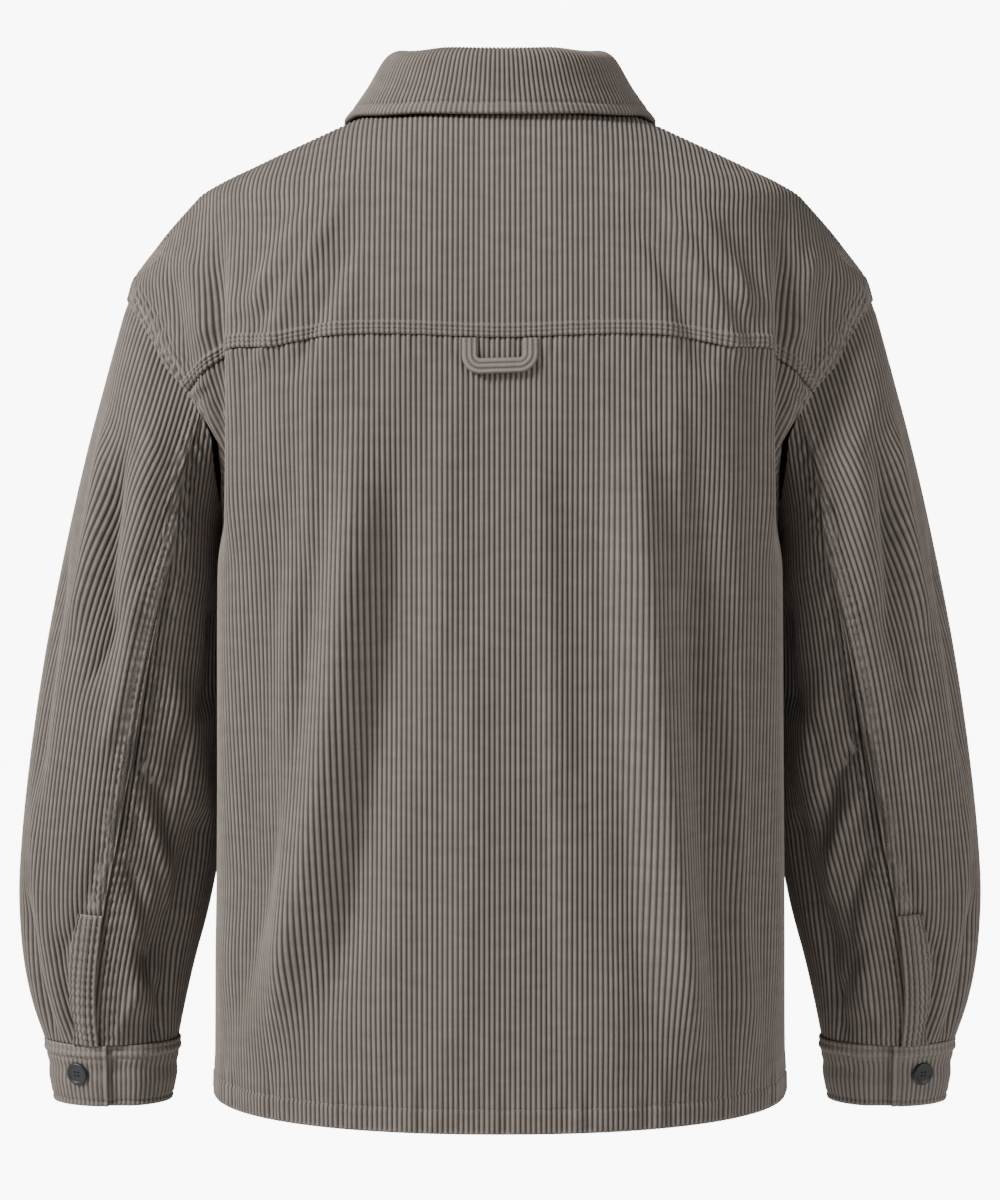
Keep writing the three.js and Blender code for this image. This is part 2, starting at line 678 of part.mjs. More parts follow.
const PANEL_COLUMNS = 12;
const ARM_BELOW_YOKE = ARM_RINGS.filter((side) => side < YOKE_LEVEL - 1);
const ARM_ABOVE_YOKE = ARM_RINGS.filter((side) => side > YOKE_LEVEL + 1);
const BACK_SIDES = [...HEM_RINGS, ...BODY_RINGS, ...ARM_BELOW_YOKE, YOKE_LEVEL - SEAM_GAP / 2];
const YOKE_SIDES = [
  YOKE_LEVEL + SEAM_GAP / 2,
  YOKE_LEVEL + SEAM_BAND,
  YOKE_LEVEL + SEAM_BAND + BAND_EDGE,
  ...ARM_ABOVE_YOKE,
  ...SHOULDER_RINGS,
];
const FRONT_SIDES = [...HEM_RINGS, ...BODY_RINGS, ...ARM_RINGS, ...SHOULDER_RINGS];

// A front, from the armhole, side seam or yoke to its lapped edge. Where it passes under the
// other front it lies one wall further in.
function frontPanel(mirror, under) {
  return FRONT_SIDES.map((side) => {
    const arm = inArmhole(side);
    let edge = Math.PI / 2;
    if (arm) edge = armholeAngle(side, -1);
    else if (side > SHOULDER_LEVEL) edge = yokeFrontAngle(side);
    const places = (length) => [
      SEAM_GAP / 2,
      ARMHOLE_BAND,
      ...evenly(ARMHOLE_BAND + BAND_EDGE, length - PLACKET_WIDTH - LAP_RAMP, 6),
      length - PLACKET_WIDTH - 1,
      length,
    ];
    const end = angleAtFrontWidth(-FRONT_LAP, side);
    const cells = anglesAlong(side, edge, end, places).map((station) => {
      const cell = bodyCell(station.angle, side, mirror, bandRise(side, station.fromStart, false));
      const lap = under && station.fromEnd < PLACKET_WIDTH + 2 ? WALL + LAID_GAP + BAND_RISE : 0;
      const way = cell.outer.clone().sub(cell.inner).normalize();
      cell.outer.addScaledVector(way, -lap);
      cell.inner.addScaledVector(way, -lap);
      return cell;
    });
    if (arm) cells[0] = armholeCell(side, -1, cells[1].outer);
    return cells;
  });
}

// Turns of a sleeve's lengthwise lines at its top, every one on a corner of the armhole or on
// the straight between two.
function sleeveTurns(from, to) {
  const turns = [];
  for (const part of ARMHOLE_PARTS) for (const turn of [part, -part, 2 - part]) turns.push(turn);
  const inside = turns.filter((turn) => turn > from + 0.001 && turn < to - 0.001).sort((a, b) => a - b);
  return [from, ...inside.filter((turn, i) => i === 0 || turn - inside[i - 1] > 0.001), to];
}

// One cell of a sleeve. shift moves it round the arm in millimetres.
function sleeveCell(turn, ring, arm, shift, rise) {
  const row = smoothRow(SLEEVE, 'ring', Math.max(ring, 1));
  const radius = (row.outerX - row.innerX + row.backY - row.frontY) / 4;
  const moved = turn + shift / (Math.PI * radius);
  const place = (u, v) => sleeveSkin(u, v, arm);
  const across = place(moved + 0.01, ring).sub(place(moved - 0.01, ring));
  const down = place(moved, Math.min(ring + 0.08, SLEEVE_END)).sub(place(moved, Math.max(ring - 0.08, 0)));
  const way = across.cross(down).normalize().multiplyScalar(-1);
  const point = place(moved, ring);
  return { outer: point.clone().addScaledVector(way, rise), inner: point.addScaledVector(way, -WALL) };
}

function sleeveTopCell(turn, shift) {
  const seam = seamAtTurn(turn + shift / (Math.PI * SLEEVE_TOP_RADIUS));
  const outer = seam.point.clone().addScaledVector(seam.apart, SEAM_GAP / 2);
  return { outer, inner: outer.clone().addScaledVector(seam.sleeveWay, -WALL) };
}

// The top sleeve runs from the front seam over the outer arm to the back seam, whose fold is
// topstitched on it; the under sleeve closes the tube.
function sleeveHalf(isTop, arm) {
  const from = isTop ? -SLEEVE_FRONT_SEAM_START : SLEEVE_SEAM_START;
  const to = isTop ? SLEEVE_SEAM_START : 2 - SLEEVE_FRONT_SEAM_START;
  const turns = sleeveTurns(from, to);
  return SLEEVE_RINGS.map((ring) => {
    const clear = SEAM_GAP / 2 * mix(SLEEVE_TOP_CLEAR, 1, smoothstep(0, 1, ring));
    const stations = turns.map((turn, i) => {
      let shift = 0;
      if (i === 0) shift = clear;
      if (i === turns.length - 1) shift = -clear;
      return { turn, shift, rise: 0 };
    });
    if (isTop) {
      const last = stations.pop();
      const dropped = stations.pop();
      const inPlacket = ring >= PLACKET_RING;
      const rise = inPlacket || ring === 0 ? 0 : BAND_RISE;
      stations.push({ turn: last.turn, shift: -SLEEVE_PLACKET_WIDTH, rise: 0 });
      stations.push({ turn: last.turn, shift: -SLEEVE_SEAM_BAND - BAND_EDGE, rise: 0 });
      stations.push({ turn: last.turn, shift: -SLEEVE_SEAM_BAND, rise });
      stations.push({ ...last, rise });
      if (ring === 0) stations[stations.length - 4] = dropped;
    }
    return stations.map(({ turn, shift, rise }) => (
      ring === 0 ? sleeveTopCell(turn, shift) : sleeveCell(turn, ring, arm, shift, rise)));
  });
}

// The cuff winds once round the wrist and on under its own end.
function cuffGrid() {
  return CUFF.map((row) => evenly(CUFF_OVER_END, CUFF_OVER_END - 360 - CUFF_LAP, CUFF_COLUMNS).map((degrees) => {
    const angle = THREE.MathUtils.degToRad(degrees);
    const wound = CUFF_OVER_END - degrees;
    const inward = (CUFF_WALL + CUFF_LAP_GAP) * smoothstep(CUFF_LAP_START, CUFF_LAP_FULL, wound);
    const place = (off) => new THREE.Vector3(
      CUFF_CENTRE_X + (row.halfWidth - off) * Math.cos(angle),
      CUFF_CENTRE_Y + (row.halfDepth - off) * Math.sin(angle),
      row.z,
    );
    return { outer: place(inward), inner: place(inward + CUFF_WALL) };
  }));
}

// The sleeve placket lies on the top sleeve along the back seam, down to the cuff.
function sleevePlacketGrid(topSleeve) {
  const first = SLEEVE_RINGS.indexOf(PLACKET_RING);
  const rows = topSleeve.slice(first).map((row) => row.slice(-4));
  return laidOn(rows, STRIP_WALL);
}

// The neck edge, from the right front's lap round the back to the left front's lap.
function neckEdge(frontLeft, frontRight, yoke) {
  const right = [...frontRight[frontRight.length - 1]].reverse();
  const left = frontLeft[frontLeft.length - 1];
  const back = yoke[yoke.length - 1];
  return [...right.slice(0, -1), ...back, ...left.slice(1)];
}

function flatBack(point) {
  return Math.abs(Math.atan2(point.x, point.y));
}

// Height of the stand at a share of the way round from the middle of the back to the front's.
function standHeight(share) {
  return mix(STAND_HEIGHT_BACK, STAND_HEIGHT_FRONT, smoothstep(0.1, 0.6, share));
}

function collarStandGrid(edge) {
  const last = STAND_STEPS.length - 1;
  return STAND_STEPS.map((rise, i) => edge.map((cell) => {
    const full = standHeight(flatBack(cell.outer) / Math.PI);
    const up = i === last ? full : Math.min(rise, full * i / last + SEAM_GAP);
    const inward = new THREE.Vector3(-cell.outer.x, -cell.outer.y, 0).normalize();
    const lean = STAND_LEAN * up / full;
    const outer = cell.outer.clone().addScaledVector(inward, lean);
    const inner = outer.clone().addScaledVector(inward, WALL);
    inner.z = outer.z;
    outer.z += up;
    inner.z += up;
    return { outer, inner };
  }));
}

// The fall leaves the stand's top, rolls over and comes down to its edge over the shoulders.
function collarFallGrid() {
  return FALL_STEPS.map((v) => evenly(-FALL_ENDS, FALL_ENDS, FALL_COLUMNS).map((degrees) => {
    const side = Math.sign(degrees) || 1;
    const angle = Math.abs(degrees);
    const row = smoothRow(FALL_EDGE, 'angle', angle);
    const bodyAngle = THREE.MathUtils.degToRad(row.place);
    const edge = bodyRing(bodyAngle, row.side);
    edge.addScaledVector(bodyNormal(bodyAngle, row.side), row.standOff);
    const rad = THREE.MathUtils.degToRad(angle);
    const neck = bodyRing(rad, NECK_LEVEL);
    const height = standHeight(angle / 180);
    const inward = new THREE.Vector3(-neck.x, -neck.y, 0).normalize();
    const base = neck.clone().addScaledVector(inward, STAND_LEAN - FALL_INSET);
    base.z += height + SEAM_GAP;
    const crest = base.clone().addScaledVector(inward, -FALL_ROLL * FALL_CREST_SHARE);
    crest.z += FALL_RISE;
    const shoulder = crest.clone().addScaledVector(inward, -FALL_ROLL);
    shoulder.z -= FALL_RISE * FALL_SHOULDER_DROP;
    const middle = edge.clone().lerp(shoulder, FALL_MIDDLE);
    const profile = new THREE.CatmullRomCurve3([base, crest, shoulder, middle, edge]);
    const point = profile.getPoint(v);
    const along = profile.getTangent(v);
    const level = new THREE.Vector3(inward.y, -inward.x, 0);
    const way = level.cross(along).normalize();
    if (way.dot(inward) > 0) way.multiplyScalar(-1);
    const inner = point.clone().addScaledVector(way, -COLLAR_WALL);
    point.x *= side;
    inner.x *= side;
    return { outer: point, inner };
  }));
}

// The loop is one strap, bent square at both lower corners, its ends caught in the yoke seam.
function lockerLoop() {
  const { halfWidth, drop, strap, corner, cut, thick } = LOOP;
  const outline = new THREE.Shape();
  outline.moveTo(-halfWidth, 0);
  outline.lineTo(-halfWidth, -drop + corner);
  outline.quadraticCurveTo(-halfWidth, -drop, -halfWidth + corner, -drop);
  outline.lineTo(halfWidth - corner, -drop);
  outline.quadraticCurveTo(halfWidth, -drop, halfWidth, -drop + corner);
  outline.lineTo(halfWidth, 0);
  outline.lineTo(halfWidth - strap, 0);
  outline.lineTo(halfWidth - strap, -drop + strap + cut);
  outline.lineTo(halfWidth - strap - cut, -drop + strap);
  outline.lineTo(-halfWidth + strap + cut, -drop + strap);
  outline.lineTo(-halfWidth + strap, -drop + strap + cut);
  outline.lineTo(-halfWidth + strap, 0);
  outline.closePath();
  const geometry = new THREE.ExtrudeGeometry(outline, { depth: thick, bevelEnabled: false, curveSegments: 4 });
  const mesh = new THREE.Mesh(geometry, SKIN);
  mesh.name = 'locker_loop';
  const seam = bodyRing(0, YOKE_LEVEL);
  mesh.rotation.x = Math.PI / 2 + LOOP.lean;
  mesh.position.set(0, seam.y + thick + LAID_GAP, seam.z - SEAM_GAP);
  return mesh;
}

// A four-hole button, its back facing -Z.
function buttonMesh(name, seat, way) {
  const corners = (radius, count, x, y) => Array.from({ length: count }, (_, i) => new THREE.Vector2(
    x + radius * Math.cos(i * Math.PI * 2 / count), y + radius * Math.sin(i * Math.PI * 2 / count)));
  const disc = new THREE.Shape(corners(BUTTON_RADIUS, BUTTON_SIDES, 0, 0));
  for (let i = 0; i < 4; i += 1) {
    const turn = Math.PI / 4 + i * Math.PI / 2;
    const x = BUTTON_HOLE_SPREAD * Math.cos(turn);
    const y = BUTTON_HOLE_SPREAD * Math.sin(turn);
    disc.holes.push(new THREE.Path(corners(BUTTON_HOLE, BUTTON_HOLE_SIDES, x, y).reverse()));
  }
  const geometry = new THREE.ExtrudeGeometry(disc, { depth: BUTTON_THICK, bevelEnabled: false });
  const mesh = new THREE.Mesh(geometry, HORN);
  mesh.name = name;
  mesh.quaternion.setFromUnitVectors(new THREE.Vector3(0, 0, 1), way);
  mesh.position.copy(seat).addScaledVector(way, BUTTON_GAP);
  return mesh;
}

// A seat on a cell of a grid and the way its surface faces.
function seatOf(grid, i, j, u, v) {
  const corners = [grid[i][j], grid[i][j + 1], grid[i + 1][j], grid[i + 1][j + 1]].map((cell) => cell.outer);
  const seat = corners[0].clone().lerp(corners[1], u).lerp(corners[2].clone().lerp(corners[3], u), v);
  const across = corners[1].clone().sub(corners[0]).add(corners[3]).sub(corners[2]);
  const up = corners[2].clone().sub(corners[0]).add(corners[3]).sub(corners[1]);
  const way = across.cross(up).normalize();
  if (way.dot(grid[i][j].outer.clone().sub(grid[i][j].inner)) < 0) way.multiplyScalar(-1);
  return { seat, way };
}

const jacket = new THREE.Group();
const back = wholeBack(BACK_SIDES, PANEL_COLUMNS, false);
const yoke = wholeBack(YOKE_SIDES, PANEL_COLUMNS, true);
const frontLeft = frontPanel(1, false);
const frontRight = mirrored(frontPanel(-1, true));
jacket.add(shell('back', back, SKIN));
jacket.add(shell('yoke', yoke, SKIN));
jacket.add(shell('front_left', frontLeft, SKIN));
jacket.add(shell('front_right', frontRight, SKIN));
const frontPlacket = laidOn(frontLeft.map((row) => row.slice(-2)), STRIP_WALL);
jacket.add(shell('front_placket', frontPlacket, SKIN));

const stand = collarStandGrid(neckEdge(frontLeft, frontRight, yoke));
jacket.add(shell('collar_stand', stand, SKIN));
jacket.add(shell('collar_fall', collarFallGrid(), SKIN));
jacket.add(lockerLoop());

for (const [label, arm] of [['left', 1], ['right', -1]]) {
  const turned = (grid) => (arm > 0 ? grid : mirrored(grid));
  const top = sleeveHalf(true, arm);
  const cuff = cuffGrid();
  jacket.add(shell(`sleeve_top_${label}`, turned(top), SKIN));
  jacket.add(shell(`sleeve_under_${label}`, turned(sleeveHalf(false, arm)), SKIN));
  jacket.add(shell(`sleeve_placket_${label}`, turned(sleevePlacketGrid(top)), SKIN));
  jacket.add(shell(`cuff_${label}`, turned(cuff), SKIN));
  const column = (CUFF_OVER_END - CUFF_BUTTON_ANGLE) / (360 + CUFF_LAP) * CUFF_COLUMNS;
  const { seat, way } = seatOf(turned(cuff), 2, Math.floor(column), column % 1, 0.55);
  jacket.add(buttonMesh(`button_cuff_${label}`, seat, way));
}

for (let i = 0; i < FRONT_BUTTONS; i += 1) {
  const height = mix(BUTTON_TOP, BUTTON_END, i / (FRONT_BUTTONS - 1));
  const row = frontPlacket.findIndex((cells) => cells[0].outer.z > height) - 1;
  const low = frontPlacket[row][0].outer.z;
  const high = frontPlacket[row + 1][0].outer.z;
  const { seat, way } = seatOf(frontPlacket, row, 0, 0.5, (height - low) / (high - low));
  jacket.add(buttonMesh(`button_front_${i + 1}`, seat, way));
}

export default jacket;
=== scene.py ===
import math

import bpy
import numpy as np
from bpy.props import FloatProperty, FloatVectorProperty, PointerProperty
from mathutils import Matrix


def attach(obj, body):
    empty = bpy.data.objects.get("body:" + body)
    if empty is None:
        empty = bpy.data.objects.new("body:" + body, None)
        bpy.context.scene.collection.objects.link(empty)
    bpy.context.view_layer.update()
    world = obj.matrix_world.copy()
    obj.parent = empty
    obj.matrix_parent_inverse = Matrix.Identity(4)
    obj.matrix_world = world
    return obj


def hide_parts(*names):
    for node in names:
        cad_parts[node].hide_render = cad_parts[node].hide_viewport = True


# A wide-wale corduroy overshirt, filled out as if worn. Its forms are worked out in millimetres on
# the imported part's own frame and turned into metres as each mesh is made.

bl_info = {
    "name": "Corduroy Overshirt",
    "version": (1, 0, 0),
    "blender": (4, 5, 0),
    "location": "View3D > Sidebar > Overshirt",
    "description": "Dresses the packed overshirt in corduroy, stitching and buttons",
    "category": "Add Mesh",
}

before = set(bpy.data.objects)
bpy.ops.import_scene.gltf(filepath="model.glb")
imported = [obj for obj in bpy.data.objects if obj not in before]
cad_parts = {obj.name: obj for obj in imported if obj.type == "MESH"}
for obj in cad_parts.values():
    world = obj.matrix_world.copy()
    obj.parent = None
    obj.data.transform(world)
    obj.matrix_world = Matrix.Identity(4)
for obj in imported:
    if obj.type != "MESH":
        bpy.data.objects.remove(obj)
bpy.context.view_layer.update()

MM = 0.001
WALL = 1.8
CUFF_WALL = 2.4
COLLAR_WALL = 2.2
STRIP_WALL = 1.6
LAID_GAP = 0.35
SEAM_GAP = 0.3

HEM_LEVEL = -728
HEM_FOLD = 17.6
UNDERARM_LEVEL = -290
YOKE_LEVEL = -228
SHOULDER_LEVEL = -132
NECK_LEVEL = 10
YOKE_BAND = 9
ARMHOLE_BAND = 10
BAND_RISE = 1.3

BULGE_REACH = 66
PRESS_PLACE = -40
PRESS_REACH = 55
YOKE_DIP = 3
YOKE_DIP_REACH = 55
YOKE_DIP_HEIGHT = 60
YOKE_FORWARD = 40
RING_START = 0.1
RING_TURN = 0.78
RING_FLAT = 0.85
RING_SHARE = 0.86
ARMHOLE_FRONT_SHARE = 1.22

FRONT_LAP = 17
PLACKET_WIDTH = 34
BUTTON_THICK = 3
SLEEVE_END = 10
PLACKET_RING = 7
SLEEVE_FRONT_SEAM = -135
SLEEVE_FRONT_SEAM_START = 0.75
SLEEVE_PLACKET_WIDTH = 21
SLEEVE_SEAM_BAND = 10.5
SLEEVE_DEGREE = 1.25
NECK_HALF_WIDTH = 80

ARMHOLE_ROWS = (2.2, 8.6)
YOKE_ROWS = (3.3, 6.2, 9.1)
SLEEVE_ROWS = (2.0, 8.4)
PLACKET_ROWS = (2.4, 8, 13, 18.4)
PLACKET_END_ROWS = (2.4, 9)
CUFF_ROWS = (38.4, 44.6, 4.4)
CUFF_END_ROW = 4.5
CUFF_TOP_BAND = 37.6
FALL_ROW = 8.2
FRONT_PLACKET_ROW = 5
LOOP_ROWS = (-2.6, 2.6)
PUCKER_RISE = 1.05
STITCH_SINK = 1.1
STITCH_PERIOD = 1.42
STITCH_BREAK = 14
FAR = 99.0
LINE_STATIONS = 320
MOST_LINES = 400
TOP_LINE_INWARD = 36
UNDER_LINE_TURN = 0.12
YOKE_MARGIN = 7
YOKE_FINE = [0, 0.9, 1.8, 2.6, 3.3, 4.1, 4.8, 5.5, 6.2, 7, 7.7, 8.4, 9.1, 9.9, 10.8, 12]
SLEEVE_FINE = [0, 1.2, 3, 5.5]
PANEL_FINE = [0, 1.5, 3, 4.5, 6, 7.5, 9, 10.5, 12, 14]
HEM_FINE = [0, 1.2, 3, 6, 10, 13.5, 15.2, 16.4, 17.6, 18.8, 20.2, 23]
CUFF_FINE = [
    0, 0.8, 2, 3.2, 4.2, 5.2, 7, 10, 13, 16, 19, 22, 25, 28, 31, 33.5, 35.5, 37, 38, 39.2, 40.6,
    42, 43.5, 45, 46.2, 47.4, 48.7,
]
GROOVE_SHARPNESS = 1.7
WELD_PARTS_OF_MM = 1e3
LINING_ROW_STEP = 3
LINING_COLUMN_STEP = 8
BUTTON_SEGMENTS = 48
BUTTON_DRILL_LENGTH = 6
RING_SAMPLES = 260
CUFF_SAMPLES = 1500
COLLAR_SAMPLES = 1400
SLEEVE_TURNS = 361

CAMERA_PLACE = (0, 2.5, -0.15375)
CAMERA_LOOKS_DOWN = 4.6308
CAMERA_LENS = 100.3275
CAMERA_FILM = 36
FLOOR_REACH = 9
FLOOR_LEVEL = -1.5
BACKDROP_LIGHT = 9.0
FILL_LIGHT = 0.24
LIGHTS_AIM = (0, 0, -0.35)


class Table:
    """Rows of sizes, read between the rows on smooth curves through every column."""

    def __init__(self, columns, rows):
        self.columns = columns
        self.rows = np.array(rows, float)
        self.keys = self.rows[:, 0]
        rise = np.diff(self.rows, axis=0) / np.diff(self.keys)[:, None]
        before, after = rise[:-1], rise[1:]
        span = np.diff(self.keys)
        share = (span[1:] / (span[:-1] + span[1:]))[:, None]
        inner = np.where(before * after > 0, before * share + after * (1 - share), 0)
        self.slopes = np.vstack([rise[:1], inner, rise[-1:]])

    def at(self, where):
        where = np.clip(np.asarray(where, float), self.keys[0], self.keys[-1])
        i = np.clip(np.searchsorted(self.keys, where, side="right") - 1, 0, len(self.keys) - 2)
        span = self.keys[i + 1] - self.keys[i]
        t = (where - self.keys[i]) / span
        start = 2 * t ** 3 - 3 * t ** 2 + 1
        lead = (t ** 3 - 2 * t ** 2 + t) * span
        trail = (t ** 3 - t ** 2) * span
        return {
            name: self.rows[i, n] * start + self.slopes[i, n] * lead
            + self.rows[i + 1, n] * (1 - start) + self.slopes[i + 1, n] * trail
            for n, name in enumerate(self.columns)
        }


def named_rows(columns, rows):
    return [dict(zip(columns, row)) for row in rows]


# Rings of the body. side is the ring's height at the side; backZ and frontZ are its heights at
# the middle of the back and front; bulge is the drop of the shoulder out over the arm; press is
# how far the arm pushes the side in.
BODY = Table(
    ["side", "backZ", "frontZ", "halfWidth", "backDepth", "frontDepth", "backSquare", "frontSquare",
     "bulge", "press"],
    [
        [-728, -728, -728, 215, 147, 150, 2.2, 2.2, 0, 0],
        [-600, -598, -600, 214, 142, 147, 2.5, 2.3, 0, 5],
        [-460, -446, -460, 211, 137, 143, 2.9, 2.4, 0, 9],
        [-340, -300, -340, 209, 133, 138, 3.3, 2.5, 0, 13],
        [-300, -245, -298, 208, 131.5, 135, 3.6, 2.6, 0, 11],
        [-278, -217, -276, 207.5, 131, 133, 3.6, 2.6, 4, 9],
        [-228, -156.5, -228, 208, 129, 128, 3.6, 2.6, 47, 0],
        [-185, -131, -193, 209, 126, 122, 3.4, 2.6, 66, 0],
        [-132, -104, -158, 210, 120, 113, 3.0, 2.5, 66, 0],
        [-91, -79, -134, 211, 113, 106, 2.8, 2.4, 41, 0],
        [-58, -57, -115, 212, 105, 100, 2.7, 2.3, 11, 0],
        [-47, -46, -109, 204, 101, 97, 2.6, 2.3, 1, 0],
        [-36, -36, -102, 182, 96, 94, 2.6, 2.2, 0, 0],
        [-14, -15, -89, 135.5, 86, 87, 2.4, 2.1, 0, 0],
        [-3, -6, -81, 112, 79, 81, 2.2, 2.1, 0, 0],
        [10, 2, -72, 80, 73, 73, 2.1, 2.1, 0, 0],
    ],
)

# The armhole behind, from the shoulder to the underarm: the ring of the body it crosses and how
# far back it lies.
ARMHOLE = Table(
    ["part", "level", "depth"],
    [
        [0, -132, 0],
        [0.06, -134, 9],
        [0.14, -142, 20],
        [0.26, -164, 35],
        [0.4, -203, 48],
        [0.55, -240, 57],
        [0.7, -260, 58],
        [0.83, -275, 42],
        [0.93, -285, 20],
        [1, -290, 0],
    ],
)

# Rings of the left sleeve below the armhole, from the outer arm to the body and from its back to
# its front. seam is where the back seam lies, in degrees from the outer arm.
SLEEVE = Table(
    ["ring", "outerZ", "innerZ", "outerX", "innerX", "backY", "frontY", "square", "seam"],
    [
        [1, -190, -312, 292.5, 207, 70, -82, 2.0, 112],
        [2, -245, -342, 308, 207, 68, -92, 2.1, 112],
        [3, -318, -380, 326, 207, 60, -100, 2.2, 106],
        [4, -395, -425, 343, 208.5, 45, -107, 2.2, 102],
        [5, -470, -485, 356.5, 212, 28, -113, 2.2, 97],
        [6, -540, -545, 366.5, 216, 10, -120, 2.2, 92],
        [7, -595, -597, 371, 226, -5, -125, 2.1, 88.5],
        [8, -640, -641, 369, 238, -16, -125, 2.1, 87],
        [9, -674, -675, 363, 246, -26, -119, 2.1, 85.5],
        [10, -702, -702, 354, 251.5, -35, -109, 2.1, 84],
    ],
)

# Creases of the body: a soft ridge, or a trough where rise is below zero, from one height and
# place across to another, bowed between. The first rows are the part's own, the rest are finer.
BODY_FOLDS = named_rows(
    ["face", "topZ", "topX", "endZ", "endX", "bow", "width", "rise"],
    [
        [1, -185, 94, -700, 174, -16, 22, 10],
        [1, -200, 148, -640, 196, 0, 20, -8],
        [1, -190, 62, -660, 116, -12, 20, -6],
        [1, -185, -88, -710, -140, 6, 22, 10],
        [1, -205, -136, -660, -178, 4, 19, -8],
        [1, -200, -50, -660, -88, 6, 20, -6],
        [1, -52, 124, -150, 184, 0, 13, 5],
        [1, -52, -128, -150, -182, 0, 13, 5],
        [-1, -180, 100, -700, 150, 8, 22, 9],
        [-1, -240, 148, -620, 180, 0, 19, -7],
        [-1, -170, -96, -700, -158, -8, 22, 9],
        [-1, -230, -144, -620, -184, 0, 19, -7],
        [-1, -120, 60, -460, 66, 4, 18, -5],
        [-1, -120, -64, -480, -72, -4, 18, -5],
        [1, -165, 128, -330, 136, 4, 7, 2.2],
        [1, -165, -118, -360, -132, -3, 7, 2],
        [1, -170, 30, -420, 44, 4, 12, 2],
        [1, -175, -20, -520, -34, -5, 13, 1.8],
        [1, -420, 62, -700, 84, 6, 13, 2.4],
        [1, -460, -60, -722, -84, -4, 13, 2.2],
        [1, -430, 6, -720, 12, 6, 16, 1.8],
        [1, -60, 88, -170, 118, 5, 9, 1.8],
        [1, -70, -92, -170, -120, -4, 9, 1.6],
        [1, -60, 203, -330, 207, 0, 7, -9],
        [1, -60, -203, -330, -207, 0, 7, -9],
        [1, -80, 190, -330, 194, 0, 7, 4],
        [1, -80, -190, -330, -194, 0, 7, 4],
        [1, -90, 226, -170, 214, 0, 6, 3],
        [1, -90, -228, -170, -214, 0, 6, 3],
        [1, -98, 244, -190, 224, 0, 5, -2.5],
        [1, -98, -246, -190, -224, 0, 5, -2.5],
        [1, -195, 76, -690, 134, -12, 12, -5.5],
        [1, -230, 122, -705, 204, -10, 11, -5],
        [1, -185, 101, -712, 176, -14, 10, 5],
        [1, -260, 150, -700, 150, 4, 9, 3.5],
        [1, -185, -94, -716, -146, 6, 10, 5.5],
        [1, -300, -134, -718, -166, 4, 10, -6],
        [1, -210, -68, -700, -116, 6, 11, -5],
        [1, -380, -172, -705, -186, 3, 8, 4],
        [1, -330, 22, -716, 40, -8, 13, 3],
        [1, -300, -26, -700, -44, 8, 12, -3],
        [1, -48, 104, -190, 176, 4, 8, 4.5],
        [1, -60, 84, -200, 150, 6, 9, -3.5],
        [1, -48, -106, -190, -176, -4, 8, 4.5],
        [1, -60, -86, -200, -150, -6, 9, -3.5],
        [1, -250, 196, -700, 204, 0, 9, 3],
        [1, -250, -196, -700, -204, 0, 9, 3],
        [1, -98, 160, -178, 186, 0, 6, 2.2],
        [1, -98, -162, -178, -188, 0, 6, 2.2],
    ],
)

# Creases of the sleeves, placed by angle round the arm. arm is 1 on the left, -1 on the right and
# 0 on both. The first rows are the part's own, the rest are finer.
SLEEVE_FOLDS = named_rows(
    ["arm", "topZ", "topAngle", "endZ", "endAngle", "bow", "width", "rise"],
    [
        [0, -205, 80, -380, 90, 0, 13, 5],
        [1, -235, 58, -440, 76, 0, 14, -7],
        [-1, -240, 54, -460, 70, 6, 14, -7],
        [0, -340, 150, -450, 138, 8, 13, -7],
        [0, -400, 118, -540, 150, 0, 13, 6],
        [1, -490, 148, -660, 120, 0, 14, -9],
        [-1, -470, 144, -650, 124, 8, 14, -9],
        [0, -560, 108, -690, 116, 0, 12, 5],
        [0, -570, 28, -712, 44, 0, 9, -6],
        [0, -600, 62, -712, 66, 0, 9, -4.5],
        [0, -600, 140, -712, 132, 0, 9, -5],
        [0, -590, -20, -712, -14, 0, 11, -6],
        [0, -600, -64, -712, -70, 0, 10, -6],
        [0, -580, -110, -712, -112, 0, 10, -6],
        [0, -420, -40, -600, -70, 0, 16, -5],
        [0, -480, -90, -620, -60, 0, 15, 5],
        [0, -330, -80, -480, -50, 0, 16, 5],
        [1, -300, 96, -430, 60, 4, 6, -2],
        [-1, -310, 92, -440, 58, 4, 6, -2],
        [0, -430, 128, -520, 112, 4, 6, -2.2],
        [0, -470, 122, -560, 140, 4, 6, 2],
        [1, -520, 84, -640, 60, 6, 6, -2],
        [-1, -540, 80, -650, 58, 6, 6, -2],
        [0, -600, 100, -680, 140, 0, 6, -3],
        [0, -640, 120, -706, 96, 0, 5, 2.4],
        [0, -500, 30, -640, 52, 0, 7, 2],
        [0, -196, 36, -390, 50, 6, 9, 5],
        [0, -215, 62, -410, 84, -6, 8, -5],
        [1, -290, 22, -520, 34, 5, 9, -4.5],
        [-1, -280, 18, -500, 30, 5, 9, -4.5],
        [0, -330, 88, -480, 78, 5, 7, 4],
        [1, -455, 92, -560, 124, 8, 6, -5],
        [1, -495, 96, -610, 130, 8, 6, 4.5],
        [1, -540, 92, -650, 122, 6, 6, -5],
        [-1, -440, 94, -550, 126, 8, 6, -5],
        [-1, -480, 96, -600, 128, 8, 6, 4.5],
        [-1, -530, 94, -640, 120, 6, 6, -5],
    ],
)

# Rings of the left cuff.
CUFF = Table(
    ["z", "halfWidth", "halfDepth"],
    [
        [-751.5, 46, 33],
        [-734, 48, 34.6],
        [-715, 50.6, 36.7],
        [-714, 51.5, 37.6],
        [-702.8, 53, 39],
    ],
)
CUFF_CENTRE_X = 302
CUFF_CENTRE_Y = -72
CUFF_OVER_END = 90
CUFF_LAP = 42

